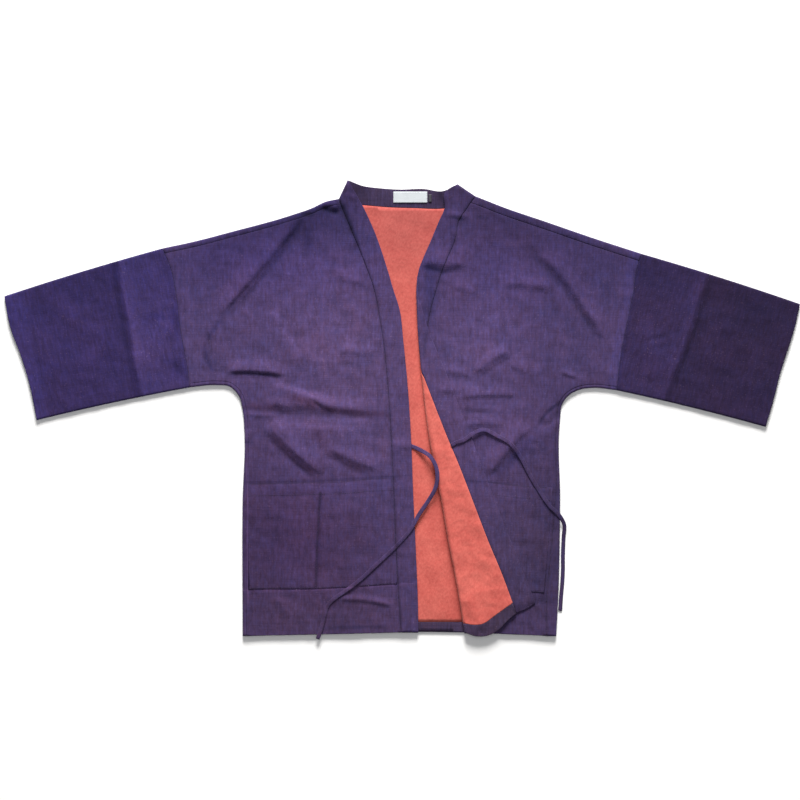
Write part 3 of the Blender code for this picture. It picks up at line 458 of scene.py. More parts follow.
# Small creases of the outer cloth
CREASES = folds(
    # Right chest
    (-146, 362, -110, 352, -2, 4, 5, -2),
    (-184, 351, -156, 348, 0, 3, 4, -1.1),
    (-178, 347, -220, 288, 2, 5, 7, -0.9),
    (-112, 368, -84, 300, 0, 4, 9, -1),
    (-316, 63, -214, 56, 4, 3, 3, -1.4),
    (-312, 57, -216, 51, 3, 3, 4, 1.1),
    (-340, 140, -185, 330, 3, 4, 4, -0.7),
    (-116, 374, -88, 300, 0, 5, 9, -1),
    (-106, 386, -84, 379, 0, 4, 4, 1),
    (-242, 177, -193, 132, 1, 3, 5, 0.55),
    (-193, 132, -148, 78, -2, 4, 6, 0.7),
    (-300, 190, -262, 150, 3, 5, 6, 0.4),
    (-330, 240, -352, 190, 2, 5, 6, -0.45),
    (-389, 232, -372, 120, -4, 5, 7, 0.5),
    (-352, 140, -348, 88, 6, 4, 6, -0.9),
    (-125, 200, -100, 150, 2, 7, 9, -0.6),
    (-125, 78, -44, 84, -2, 5, 6, -0.6),
    (-190, 30, -120, 2, 2, 4, 6, 0.8),
    (-176, 22, -138, -4, 2, 4, 3, -1.1),
    (-256, -30, -150, -132, -5, 4, 4, -0.9),
    (-170, 18, -140, -2, 0, 3, 4, -0.8),
    (-284, -13, -226, -16, -2, 3, 4, -0.6),
    (-232, -28, -190, -70, -3, 4, 5, -0.7),
    (-214, -50, -170, -96, -3, 4, 5, 0.6),
    (-128, -70, -80, -100, -3, 4, 6, 0.55),
    (-90, -20, -42, -30, 2, 5, 6, 0.5),
    (-80, -45, -34, -52, 2, 5, 6, -0.5),
    (-250, 320, -215, 280, 3, 6, 8, -0.4),
    (-150, 250, -140, 180, 5, 8, 9, 0.4),
    # Right front, pocket and hem
    (-262, -230, -170, -226, 2, 8, 8, -0.35),
    (-140, -180, -60, -176, 2, 8, 8, 0.35),
    (-120, -260, -40, -252, -3, 8, 8, -0.35),
    (-240, -290, -180, -300, 3, 7, 9, 0.3),
    (-238, -344, -180, -360, 3, 6, 5, 0.9),
    (-232, -352, -208, -385, 3, 6, 8, -0.8),
    (-122, -347, -12, -361, 6, 3, 4, -0.8),
    (-170, -372, -120, -368, 2, 5, 6, 0.45),
    (-80, -380, -30, -376, 2, 5, 7, 0.4),
    # Left chest
    (224, 306, 390, 90, 6, 7, 4, 0.9),
    (216, 296, 380, 84, 6, 4, 5, -0.7),
    (284, 236, 284, 56, 0, 14, 5, 0.8),
    (284, 67, 334, 50, -1, 4, 3, 0.9),
    (76, 349, 124, 345, 0, 6, 4, 1.7),
    (84, 330, 96, 290, 0, 4, 5, -0.8),
    (118, 372, 200, 340, -2, 5, 6, 0.4),
    (232, 300, 246, 240, 2, 6, 8, -0.55),
    (350, 240, 342, 180, 3, 6, 8, 0.4),
    (292, 12, 244, -32, -7, 3, 3, -1.1),
    (104, 348, 114, 300, 2, 5, 6, -0.7),
    (150, 180, 170, 130, 4, 7, 9, 0.4),
    # Left front under the arm, its pocket and hem
    (162, -120, 212, -75, -3, 6, 8, -1),
    (95, -18, 150, -22, 2, 4, 5, -0.55),
    (120, 2, 190, -4, 2, 4, 5, 0.45),
    (236, -60, 262, -120, 3, 6, 8, 0.45),
    (150, -200, 230, -190, 3, 9, 9, -0.35),
    (170, -260, 240, -250, -3, 9, 9, 0.35),
    (226, -344, 262, -350, 2, 5, 6, -0.6),
    (205, -378, 240, -356, 2, 5, 6, 0.6),
    # Right sleeve
    (-515, 168, -480, 150, 1, 4, 5, -0.7),
    (-505, 150, -478, 128, 1, 4, 5, 0.6),
    (-458, 172, -418, 155, 2, 5, 6, -0.7),
    (-446, 150, -405, 140, 2, 5, 6, 0.5),
    (-414, 84, -394, 52, 2, 4, 5, -0.9),
    (-590, 140, -560, 100, 3, 7, 8, -0.45),
    (-620, 210, -590, 160, -3, 8, 9, 0.45),
    (-560, 230, -525, 220, 2, 6, 7, -0.45),
    (-600, 60, -550, 50, 2, 6, 7, 0.45),
    # Left sleeve
    (432, 119, 482, 132, 2, 4, 5, -0.7),
    (436, 110, 480, 122, 2, 4, 5, 0.55),
    (505, 150, 500, 100, -3, 5, 6, -0.55),
    (560, 170, 610, 150, 3, 7, 8, -0.45),
    (590, 110, 640, 96, 3, 7, 8, 0.45),
    (560, 70, 600, 50, 2, 6, 7, -0.45),
    (430, 60, 450, 40, 2, 4, 5, -0.6),
    (610, 240, 640, 190, 3, 8, 9, 0.4),
)
# The pressed edges of the turned up hems and cuffs show as low ridges
PRESSED = folds(
    (-284, -384, -30, -380, 0, 2.5, 2.5, 0.3),
    (60, -379, 276, -384, 0, 2.5, 2.5, 0.3),
    (-681, 204, -637, -8, 5, 3, 4, 0.35),
    (680, 196, 624, -22, -5, 3, 4, 0.35),
)
# The back's lining has creases between the fronts, which fade towards them over this width
LINING_FADE = 12
# Soft creases of the lining on the back, and of the lapel's lining
LINING_CREASES = folds(
    (-62, 330, 40, 304, 5, 12, 14, 0.5),
    (40, 345, 62, 270, 3, 7, 9, -0.3),
    (-22, 210, 6, 110, 4, 8, 10, 0.5),
    (18, 90, 26, -10, 3, 6, 8, 0.5),
    (22, -80, 40, -190, 5, 9, 10, 0.6),
    (35, -230, 78, -330, -5, 9, 10, 0.6),
    (36, -300, 50, -380, 3, 7, 8, 0.4),
)
LAPEL_CREASES = folds(
    (56, -10, 84, -96, 3, 5, 7, 0.5),
    (70, -90, 120, -120, 2, 5, 7, -0.35),
    (84, -180, 140, -205, 2, 5, 7, -0.4),
    (110, -250, 168, -290, 2, 6, 8, 0.45),
    (122, -330, 188, -330, 3, 5, 7, 0.5),
    (150, -352, 190, -372, 2, 4, 5, -0.4),
)

# Creases of the right pocket: its divider and the edge of its hem
POCKET_CREASES = folds(
    (-147, -140, -155, -330, 0, 4, 5, -1.3),
    (-143, -140, -150, -250, 0, 9, 4, 0.8),
    (-276, -160, -20, -150, 0, 2.5, 3.5, -0.45),
    (-140, -190, -60, -186, 3, 8, 8, 0.5),
    (-260, -200, -190, -208, 3, 8, 8, -0.4),
    (-120, -262, -40, -252, -3, 8, 8, -0.4),
)

# Lines with another tone on their left side, fading in over a width and out over a reach
SHADES = table(
    "x0 y0 x1 y1 soft reach red green blue",
    # Right sleeve: painted shade beyond its pressed crease and close to it, and another tone on its turned up
    # cuff
    (-468, 24, -512, 272, 2.5, 400, -30, -32, -24),
    (-468, 24, -512, 272, 3, 14, -20, -20, -14),
    (-637, -8, -681, 204, 3, 400, 22, 28, 30),
    # Left sleeve: painted shade beyond its pressed crease, and close to it
    (551, 250, 477, 34, 2.5, 400, -26, -28, -28),
    (551, 250, 477, 34, 3, 12, -14, -14, -12),
    # The bluish strip of the left front before the sleeve's seam
    (406, 267, 366, 33, 2, 22, 0, 6, 16),
)

# Patches of painted light and shade: place, reach, and the gain in percent
PAINTED_LIGHT_PATCHES = table(
    "x y wide high red green blue",
    # Shoulders and sleeves: painted shade where the light falls off and in their folds, and one painted
    # highlight on the right sleeve
    (-190, 370, 150, 50, -42, -38, -26),
    (220, 370, 170, 60, -42, -38, -30),
    (-330, 280, 130, 90, -20, -20, -10),
    (330, 250, 120, 130, -26, -24, -20),
    (-600, 220, 120, 60, -14, -12, -8),
    (640, 200, 120, 120, -14, -14, -12),
    (-200, 345, 150, 50, -42, -40, -30),
    (-225, 270, 210, 70, -25, -24, -8),
    (180, 345, 150, 55, -18, -20, -18),
    (220, 270, 200, 90, -20, -20, -10),
    (-510, 285, 200, 60, -14, -10, -8),
    (500, 270, 120, 60, -22, -22, -16),
    (640, 150, 90, 90, -12, -12, -10),
    (-445, 165, 17, 8, -30, -30, -14),
    (-408, 160, 11, 30, -28, -28, -14),
    (-405, 72, 16, 20, -26, -26, -14),
    (-478, 115, 9, 32, 20, 20, 12),
    # Painted shade at the corners of the collar, and on its inside beside them
    (-98, 392, 24, 20, -34, -36, -34),
    (102, 392, 26, 20, -20, -26, -28),
    (-72, 396, 16, 16, -34, -34, -28),
    (68, 380, 13, 16, -34, -34, -26),
    # Painted shade on the sides, pockets and hem, where the light falls off
    (-190, -240, 120, 110, -12, -18, -12),
    (250, -230, 60, 130, -14, -15, -16),
    (-290, -300, 60, 260, -14, -14, -14),
    (290, -150, 80, 260, -24, -22, -22),
    (-230, -220, 100, 120, -16, -24, -24),
    (-100, -260, 80, 120, -14, -20, -22),
    (-160, -380, 190, 70, -6, -11, -20),
    (200, -300, 100, 150, -14, -12, -20),
    # Painted shade in the curl of the left band, and painted light on the band where the tie's end lifts it
    # and on the middle of the fronts
    (50, 215, 14, 60, -40, -32, -20),
    (-31, -75, 10, 26, 42, 26, 12),
    (-80, 60, 110, 150, 20, 18, 10),
    (120, 60, 80, 120, 12, 12, 8),
)
# Streaks of painted shade along hollows, and a few paler ones beside the right pocket's edges
PAINTED_LIGHT_STREAKS = streaks(
    # Right front, at the neck and to the armhole
    (-148, 365, -111, 351, -2, 4, 6, -62, -60, -50),
    (-186, 349, -156, 347, 0, 3, 4, -48, -46, -38),
    (-176, 350, -222, 284, 2, 5, 8, -38, -36, -28),
    (-175, 330, -166, 278, 2, 5, 6, -26, -26, -18),
    (-114, 380, -74, 280, 2, 3, 7, -48, -46, -38),
    (-320, 62, -212, 54, 4, 3, 4, -34, -32, -26),
    (-318, 164, -354, 116, -3, 4, 5, -30, -28, -18),
    (-354, 126, -334, 60, -8, 4, 5, -32, -30, -20),
    # Right front, under the arm and over the pocket
    (-296, 6, -210, 0, 0, 8, 8, -20, -32, -32),
    (-208, 23, -146, 1, 2, 8, 8, -20, -32, -34),
    (-158, 3, -14, -13, -2, 7, 7, -24, -36, -36),
    (-250, -38, -146, -126, -4, 11, 7, -20, -30, -28),
    (-152, -34, -138, -76, -2, 6, 8, -20, -28, -28),
    (-142, -70, -58, -119, -3, 8, 7, -20, -28, -28),
    (-146, -394, -14, -391, 0, 3, 4, -38, -34, -28),
    # Right pocket: painted shade beside its open edge and along its divider, and a paler tone along its hem
    (-350, -134.6, 60, -116.6, -4.3, 3, 2, -36, -34, -28),
    (-350, -147, 60, -129, -4.3, 9, 9, 10, 12, 16),
    (-143, -120, -154, -345, 0, 3, 6, -18, -18, -12),
    # Right pocket: painted light that makes the shaded cloth beside its lower and its outer edge a little
    # paler
    (-350, -326.4, 60, -309.4, -5.6, 1.1, 3, 70, 65, 60),
    (-277.6, -70, -277.6, -390, 0, 1.1, 3, 60, 55, 50),
    # Inside of the collar, beside its left end
    (61, 406, 81, 358, 0, 3, 5, -36, -36, -32),
    # Left front, at the neck and across the band
    (88, 345, 114, 341, -1, 4, 4, -50, -46, -40),
    (129, 345, 158, 342, 0, 3, 4, -34, -32, -26),
    (32, 258, 80, 242, 3, 4, 6, -50, -46, -36),
    (66, 240, 110, 259, 2, 4, 5, -42, -40, -32),
    # Left front, under the arm and over the pocket
    (295, 14, 241, -36, -7, 2.5, 3, -44, -42, -34),
    (244, -40, 156, -134, 3, 8, 9, -20, -18, -8),
    (90, -127, 204, -136, 0, 2, 2.5, -30, -28, -22),
)
# The shadow beside the turned back front
LINING_STREAKS = streaks(
    (42, 10, 124, -470, 0, 2.5, 9, -30, -42, -42),
)
# Patches of another tone on the linings; under the collar it is painted shade
LINING_TONES = table(
    "x y wide high red green blue",
    (10, 350, 120, 130, -34, -34, -28),
    (-8, 60, 26, 130, -14, -12, -10),
    (60, -380, 60, 20, -10, -10, -10),
)
# Free edge of the turned back band below FREE_EDGE_Y, and its end at the corner
FREE_EDGE_Y = 30
LAPEL_FREE_EDGE = [(row.edge, row.y) for row in LAPEL if LAPEL_END_Y < row.y < FREE_EDGE_Y]
LAPEL_FREE_EDGE += LAPEL_BAND_END[::-1]


def spline(knots, values, places):
    """Points at places on the smooth curve through values at rising knots"""
    gaps = np.diff(knots)[:, None]
    steps = np.diff(values, axis=0) / gaps
    middle = (steps[:-1] * gaps[1:] + steps[1:] * gaps[:-1]) / (gaps[1:] + gaps[:-1])
    slopes = np.vstack([steps[:1], middle, steps[-1:]])
    i = np.clip(np.searchsorted(knots, places) - 1, 0, len(knots) - 2)
    rise = values[i + 1] - values[i]
    t = (places - knots[i])[:, None] / gaps[i]
    bend = (slopes[i] * gaps[i] - rise) * (1 - t) + (rise - slopes[i + 1] * gaps[i]) * t
    return values[i] + t * (rise + (1 - t) * bend)


def along(line):
    """Length along a line at each of its points"""
    return np.concatenate([[0.0], np.cumsum(np.linalg.norm(np.diff(line, axis=0), axis=1))])


def curve(points, step=EDGE_STEP, count=None):
    """Evenly spaced points on the smooth line through a few"""
    points = np.asarray(points, float)
    knots = along(points)
    count = count or max(1, round(knots[-1] / step))
    return spline(knots, points, knots[-1] * np.arange(count + 1) / count)


def read(rows, column, y):
    """Values of a table's column at heights y"""
    knots = np.array([row.y for row in rows[::-1]], float)
    values = np.array([[getattr(row, column)] for row in rows[::-1]], float)
    return spline(knots, values, np.reshape(y, -1))[:, 0]


def column_line(rows, column, start=()):
    """Smooth line down a table's column, after its first points"""
    return curve(list(start) + [(getattr(row, column), row.y) for row in rows])


def unit(way):
    """Vectors of length 1"""
    return way / np.linalg.norm(way, axis=-1, keepdims=True)


def heading(a, b):
    """Flat unit vector from one point to another"""
    return unit(np.subtract(b[:2], a[:2]))


def left_of(way):
    """Flat vectors turned to their left"""
    return np.column_stack([-way[:, 1], way[:, 0]])


def frame_of(way):
    """Side and up vectors of a line that runs along way"""
    side = np.column_stack([left_of(unit(way[:, :2])), np.zeros(len(way))])
    up = np.cross(way, side)
    return side, up * np.sign(up[:, 2:])


def moved(line, depth):
    """A line moved to its left, by one depth or one for each point"""
    return line + left_of(unit(np.gradient(line, axis=0))) * np.reshape(depth, (-1, 1))


def inset(edge, depth, turn, start, end):
    """An outline moved inward, its ends kept on the lines that meet it there"""
    depth = np.broadcast_to(depth, len(edge))
    out = moved(edge, depth * turn)
    for place, near, slide in ((0, 1, start), (-1, -2, end)):
        way = heading(edge[place], edge[near])
        sine = abs(way[0] * slide[1] - way[1] * slide[0])
        out[place] = edge[place] + np.multiply(slide, depth[place]) / sine
    return out


def past(line, point):
    """Points of a line beyond as far as a point is from its start"""
    return line[along(line) > math.dist(line[0], point[:2])]


def mixed(a, b, share):
    """Points between two points or lines"""
    return np.add(a, np.subtract(b, a) * share)


def eased(t):
    """0 to 1 with a soft start and end"""
    t = np.clip(t, 0, 1)
    return t * t * (3 - 2 * t)


def bell(away, width):
    """1 at no distance, and softly down to 0 over a width"""
    return np.exp(-(away / width) ** 2)


def beside(row, x, y):
    """Share of the way along a row's line, and distance to its left"""
    run = (row.x1 - row.x0, row.y1 - row.y0)
    length = math.hypot(*run)
    share = ((x - row.x0) * run[0] + (y - row.y0) * run[1]) / length ** 2
    return np.clip(share, 0, 1), ((y - row.y0) * run[0] - (x - row.x0) * run[1]) / length


def ridge(row, x, y, fade=FADE):
    """1 along a row's line, down to 0 beside it and at its ends"""
    t, side = beside(row, x, y)
    away = side - row.bow * 4 * t * (1 - t)
    return eased(np.minimum(t, 1 - t) / fade) * bell(away, np.where(away > 0, row.left, row.right))


def rise_of(rows, x, y, fade=FADE):
    """Height that a table's folds add"""
    return sum(row.rise * ridge(row, x, y, fade) for row in rows)


def ripples(x, y, seed, longest, shortest, count, height):
    """Soft uneven swells of many lengths and directions"""
    draw = np.random.default_rng(seed)
    total = np.zeros_like(x)
    for long in np.geomspace(longest, shortest, count):
        turn, start = draw.uniform(0, math.tau, 2)
        cos, sin = math.cos(turn) * math.tau / long, math.sin(turn) * math.tau / long
        bend = SWELL_BEND * np.sin((x * sin - y * cos) / SWELL_SLOW + turn)
        total += np.sin(x * cos + y * sin + start + bend) * (long / longest) ** SWELL_POWER
    return total * height / math.sqrt(count / 2)


def line_distance(x, y, line, reach=np.inf):
    """Distance to a line, where a stretch counts within reach of its start"""
    nearest = np.full(len(x), np.inf)
    for a, b in zip(line, line[1:]):
        run = np.subtract(b, a)
        near = (np.abs(x - a[0]) < reach) & (np.abs(y - a[1]) < reach)
        right, up = x[near] - a[0], y[near] - a[1]
        t = np.clip((right * run[0] + up * run[1]) / max(run @ run, 1e-9), 0, 1)
        nearest[near] = np.minimum(nearest[near], np.hypot(right - t * run[0], up - t * run[1]))
    return nearest


def seam_dip(away):
    """A seam draws the cloth down, and its allowance lifts it beside that"""
    return ALLOWANCE_RISE * bell(away - ALLOWANCE_AWAY, ALLOWANCE_WIDTH) - bell(away, SEAM_WIDTH)


def seam_sum(x, y, part):
    """What all seams do, where part says it for a distance"""
    return sum(depth * part(line_distance(x, y, line)) for line, depth in SEAMS)


def swells(x, y, gain=FOLD_GAIN):
    """Height of the fronts with their large folds alone"""
    return np.maximum(REST + gain * rise_of(FOLDS, x, y), LOWEST)


def crumple(x, y):
    """Small unevenness of pressed cotton"""
    return ripples(x, y, 11, 85, 26, 9, 0.5) + ripples(x, y, 12, 22, 9, 10, 0.13)


def top(x, y):
    """Middle height of the fronts and of the sleeves' upper side"""
    return swells(x, y) + rise_of(CREASES + PRESSED, x, y) + crumple(x, y) + seam_sum(x, y, seam_dip)


def band_top(x, y):
    """The same for the collar bands"""
    return top(x, y) + BAND_PROUD


def lapel_top(x, y, lift=LAPEL_SHELL_LIFT):
    """Middle height of a layer of the lapel, such as its outer cloth"""
    own = np.maximum(rise_of(LAPEL_FOLDS, x, y, LAPEL_FADE), LAPEL_LOWEST) + rise_of(LAPEL_CREASES, x, y)
    return swells(x, y) + own + crumple(x, y) + lift


def lapel_dip(x, y):
    """How the band's seam draws the lapel down"""
    return LAPEL_SEAM_DEPTH * seam_dip(line_distance(x, y, LAPEL_SEAM_LINE))


def lining_high(x, y):
    """Height of the lapel's lining"""
    own = lapel_dip(x, y) * LAPEL_LINING_SHARE + ripples(x, y, 22, 50, 12, 8, 0.2)
    return lapel_top(x, y, LAPEL_LINING_LIFT) + own


def band_high(x, y):
    """Height of the turned back band, whose free edge sags"""
    sag = LAPEL_SAG * bell(line_distance(x, y, LAPEL_FREE_EDGE), LAPEL_SAG_WIDTH)
    return lapel_top(x, y, LAPEL_BAND_LIFT) + lapel_dip(x, y) - sag * eased((CROSS_HIGH - y) / LAPEL_SAG_FADE)


def lining_low(x, y):
    """Height of the left front's lining where it is tucked in"""
    return top(x, y) + LAPEL_SHELL_LIFT - LAPEL_LINING_LIFT


def lining_top(x, y):
    """Middle height of the back's lining, creased where the fronts leave it open"""
    right, band, fold = (
        read(rows, column, np.clip(y, low, rows[0].y))
        for rows, column, low in ((BAND_RIGHT, "edge", BAND_RIGHT[-1].y), (BAND_LEFT, "edge", LAPEL[0].y),
                                  (LAPEL, "fold", LAPEL[-1].y)))
    left = np.where(y > LAPEL[0].y, band, fold)
    shown = eased((x - right) / LINING_FADE) * eased((left - x) / LINING_FADE)
    return BACK_LINING_Z + shown * (rise_of(LINING_CREASES, x, y) + ripples(x, y, 21, 60, 14, 9, 0.32))


def collar_back_top(x, y):
    """Height of the back of the collar"""
    return COLLAR_BACK_Z + ripples(x, y, 31, 50, 14, 7, 0.12)


def label_top(x, y):
    """Height of the label, which waves a little"""
    share = (x - LABEL_CORNER[0]) / LABEL_SIZE[0]
    return LABEL_Z + LABEL_WAVE * np.sin(share * 3 * math.pi) ** 2 * np.clip(4 * share * (1 - share), 0, 1)


def level(height):
    """A flat surface"""
    return lambda x, y: np.full_like(x, height)


def pocket_surface(edges):
    """Height of a pocket, drawn down at its edges, with its own creases"""
    def surface(x, y):
        away = np.min([line_distance(x, y, edge) for edge in edges], axis=0)
        lift = SHELL / 2 + POCKET_GAP + POCKET / 2 + rise_of(POCKET_CREASES, x, y)
        return top(x, y) + lift - POCKET_SEWN * bell(away, POCKET_SEWN_WIDTH)
    return surface


def lay(line, surface, lift=0.0):
    """Points of a flat line on a surface, or a height above it"""
    x, y = np.array(line, float)[:, :2].T
    return np.column_stack([x, y, surface(x, y) + lift])


def within(spots, loop, room):
    """The points inside a closed loop that are further than room from it"""
    x, y = spots.T
    loop = np.vstack([loop, loop[:1]])
    inside = np.zeros(len(x), bool)
    for a, b in zip(loop, loop[1:]):
        if a[1] != b[1]:
            cross = a[0] + (y - a[1]) * (b[0] - a[0]) / (b[1] - a[1])
            inside ^= ((a[1] > y) != (b[1] > y)) & (x < cross)
    return spots[inside & (line_distance(x, y, loop, NEAR) > room)]


def fill(loop, surface, grid=GRID, rows=EDGE_ROWS):
    """A panel on a surface: a closed loop, rows of points along it and a grid inside"""
    flat = np.array([p[:2] for p in loop], float)
    rise = grid * math.sqrt(3) / 2
    low = np.floor(flat.min(axis=0) / (grid, rise)).astype(int)
    high = np.ceil(flat.max(axis=0) / (grid, rise)).astype(int)
    r, c = np.mgrid[low[1]:high[1] + 1, low[0]:high[0] + 1]
    spots = np.column_stack([((c + r % 2 / 2) * grid).ravel(), (r * rise).ravel()])
    points = [flat, within(spots, flat, max(rows, default=0) + grid * GRID_ROOM)]
    way = left_of(unit(np.roll(flat, -1, axis=0) - np.roll(flat, 1, axis=0) + 1e-9))
    for depth in rows:
        points += [within(flat + way * depth * turn, flat, depth * ROW_ROOM) for turn in (1, -1)]
    sides = [(i, (i + 1) % len(flat)) for i in range(len(flat))]
    corners = [Vector(p) for p in np.vstack(points)]
    found, _, faces, *_ = geometry.delaunay_2d_cdt(corners, sides, [], 1, 1e-6)
    return lay([tuple(p) for p in found], surface), [list(face) for face in faces]


def net(rows, ring=False):
    """Quads between rows that have the same number of points"""
    wide = len(rows[0])
    faces = []
    for r in range(0, (len(rows) - 1) * wide, wide):
        for c in range(wide if ring else wide - 1):
            d = (c + 1) % wide
            faces.append([r + c, r + d, r + wide + d, r + wide + c])
    return np.vstack(rows), faces


def arc(below, above, share):
    """Height a share of the way round a half circle"""
    return (below + above) / 2 - (above - below) / 2 * math.cos(math.pi * share)


def roll(inner, outer, low, high, inner_high=None):
    """Rows round a folded edge, from inner at height low over outer to height high"""
    inner_high = inner if inner_high is None else inner_high
    below, above = low(*inner.T), high(*inner_high.T)
    rows = []
    for share in SHARES:
        line = mixed(mixed(inner, inner_high, share), outer, math.sin(math.pi * share))
        rows.append(np.column_stack([line, arc(below, above, share)]))
    return rows


def lapel_row(share, y0, y1, steps, round_out, low, high):
    """One row down the lapel's fold, a share of the way round it"""
    y = y0 + (y1 - y0) * np.arange(steps + 1) / steps
    x = read(LAPEL, "fold", y)
    height = arc(low(x + LAPEL_ROUND, y), high(x + LAPEL_ROUND, y), share)
    out = LAPEL_ROUND - (LAPEL_ROUND - round_out) * math.sin(math.pi * share)
    return np.column_stack([x + out, y, height])


def lapel_roll(start, end, *layer):
    """The lapel's fold in one layer: start and end give y at its low and its high side"""
    steps = round(abs(start[0] - end[0]) / EDGE_STEP)
    return [lapel_row(share, mixed(*start, share), mixed(*end, share), steps, *layer) for share in SHARES]


class Skin:
    """A material built up from nodes"""

    def __init__(self, name):
        self.made = bpy.data.materials.new(name)
        self.made.use_nodes = True
        self.nodes = self.made.node_tree.nodes
        self.where = self.add("TexCoord", {}).outputs["Object"]

    def put(self, node, inputs):
        """A value or another node's output on each input named"""
        for key, value in inputs.items():
            if isinstance(value, bpy.types.NodeSocket):
                self.made.node_tree.links.new(value, node.inputs[key])
            else:
                node.inputs[key].default_value = value
        return node

    def add(self, kind, inputs, **settings):
        """A node with its settings and its inputs"""
        made = self.nodes.new("ShaderNode" + kind)
        for key, value in settings.items():
            setattr(made, key, value)
        return self.put(made, inputs)

    def noise(self, scale, detail, turn=0.0):
        """Noise with its own scale along each axis, turned about Z"""
        turned = self.add("Mapping", {"Vector": self.where, "Rotation": (0, 0, turn)})
        scaled = self.add("Mapping", {"Vector": turned.outputs[0], "Scale": scale})
        made = self.add("TexNoise", {"Vector": scaled.outputs[0], "Scale": 1.0, "Detail": detail})
        return made.outputs["Fac"]

    def span(self, value, to_low, to_high, low=0.3, high=0.7):
        """A value taken from one range to another"""
        names = ("Value", "From Min", "From Max", "To Min", "To Max")
        return self.add("MapRange", dict(zip(names, (value, low, high, to_low, to_high)))).outputs[0]

    def math(self, kind, a, b):
        """Sum or product of two values"""
        return self.add("Math", {0: a, 1: b}, operation=kind).outputs[0]

    def mix(self, share, a, b, kind="MIX"):
        """Two colours mixed, where a plain colour has three values"""
        a, b = ((*side, 1) if isinstance(side, tuple) else side for side in (a, b))
        return self.add("Mix", {0: share, 6: a, 7: b}, data_type="RGBA", blend_type=kind).outputs[2]

    def shaded(self, colour, shade):
        """A colour made darker or paler"""
        grey = self.add("CombineColor", {0: shade, 1: shade, 2: shade}).outputs[0]
        return self.mix(1.0, colour, grey, "MULTIPLY")

    def bump(self, *layers):
        """A bumpy normal from heights of 0 to 1, each with its depth in metres"""
        inputs = {}
        for height, depth in layers:
            made = self.add("Bump", {"Height": height, "Distance": depth, "Strength": 1.0, **inputs})
            inputs = {"Normal": made.outputs[0]}
        return inputs["Normal"]

    def finish(self, colour, normal, roughness, gloss=0.5, sheen=()):
        """The shader's inputs. Cloth has its painted light and shade, and a sheen with its weight, roughness
        and tint.
        """
        if sheen:
            painted_light = self.add("Attribute", {}, attribute_name="painted_light").outputs["Color"]
            colour = self.mix(1.0, colour, painted_light, "MULTIPLY")
        names = ("Base Color", "Normal", "Roughness", "Specular IOR Level", "Sheen Weight",
                 "Sheen Roughness", "Sheen Tint")
        self.put(self.nodes["Principled BSDF"], dict(zip(names, (colour, normal, roughness, gloss, *sheen))))
        return self.made


def woven(name, dark, blue, red, turn=0.0, streak=0.10):
    """Slubby plain weave: bluish and reddish yarns, thick and thin places, pale flecks"""
    skin = Skin(name)
    warp = skin.noise((820, 20, 820), 3.0, turn)
    weft = skin.noise((17, 760, 760), 3.0, turn)
    slub = skin.noise((260, 9, 260), 2.0, turn)
    cloud = skin.noise((15, 15, 15), 5.0)
    patch = skin.noise((150, 30, 150), 4.0, turn)
    heather = skin.noise((300, 90, 300), 3.0, turn)
    crepe = skin.noise((150, 110, 150), 3.0, turn)
    grit = skin.noise((420, 420, 420), 1.0)
    yarn = skin.math("ADD", skin.span(warp, 0, 0.55), skin.span(weft, 0, 0.45))
    hue = skin.math("ADD", skin.span(cloud, 0, 0.4), skin.span(heather, 0, 0.6))
    colour = skin.mix(hue, blue, red)
    colour = skin.mix(skin.span(yarn, 0, streak * 2, 0.62, 0.3), colour, dark)
    shade = skin.math("MULTIPLY", skin.span(patch, 0.85, 1.15), skin.span(slub, 0.94, 1.06, 0.25, 0.75))
    colour = skin.shaded(colour, skin.math("MULTIPLY", shade, skin.span(heather, 1.16, 0.84)))
    colour = skin.mix(skin.span(grit, 0, 0.16, 0.66, 0.76), colour, FLECK_COLOUR)
    normal = skin.bump((crepe, 0.0005), (heather, 0.0005), (yarn, 0.00022))
    return skin.finish(colour, normal, 0.92, 0.12, (0.12, 0.5, (0.62, 0.52, 0.85, 1)))


def brushed(name, deep, pale):
    """Brushed coral cotton: soft clouds, short crinkled fibres and a nap"""
    skin = Skin(name)
    cloud = skin.noise((26, 20, 26), 4.0)
    crinkle = skin.noise((260, 170, 260), 5.0, 0.4)
    fibre = skin.noise((900, 240, 900), 3.0, 0.1)
    share = skin.math("ADD", skin.span(cloud, 0, 0.45), skin.span(crinkle, 0, 0.55))
    colour = skin.shaded(skin.mix(share, deep, pale), skin.span(fibre, 0.9, 1.1, 0.25, 0.75))
    normal = skin.bump((crinkle, 0.0005), (fibre, 0.0002))
    return skin.finish(colour, normal, 0.95, 0.15, (0.35, 0.6, (1.0, 0.62, 0.56, 1)))


def satin(name, colour):
    """Label cloth: fine woven ribs with a slight gloss"""
    skin = Skin(name)
    ribs = skin.noise((60, 2600, 60), 1.0)
    warp = skin.noise((1900, 90, 1900), 1.0)
    cloud = skin.noise((70, 70, 70), 2.0)
    shade = skin.math("MULTIPLY", skin.span(ribs, 0.92, 1.05), skin.span(cloud, 0.95, 1.03))
    return skin.finish(skin.shaded(colour, shade), skin.bump((ribs, 0.00012), (warp, 0.00006)), 0.55)


def thread(name, colour):
    """Sewing thread with its twist"""
    skin = Skin(name)
    twist = skin.noise((1500, 1500, 1500), 1.0)
    return skin.finish(skin.shaded(colour, skin.span(twist, 0.75, 1.25)), skin.bump((twist, 0.0001)), 0.6)


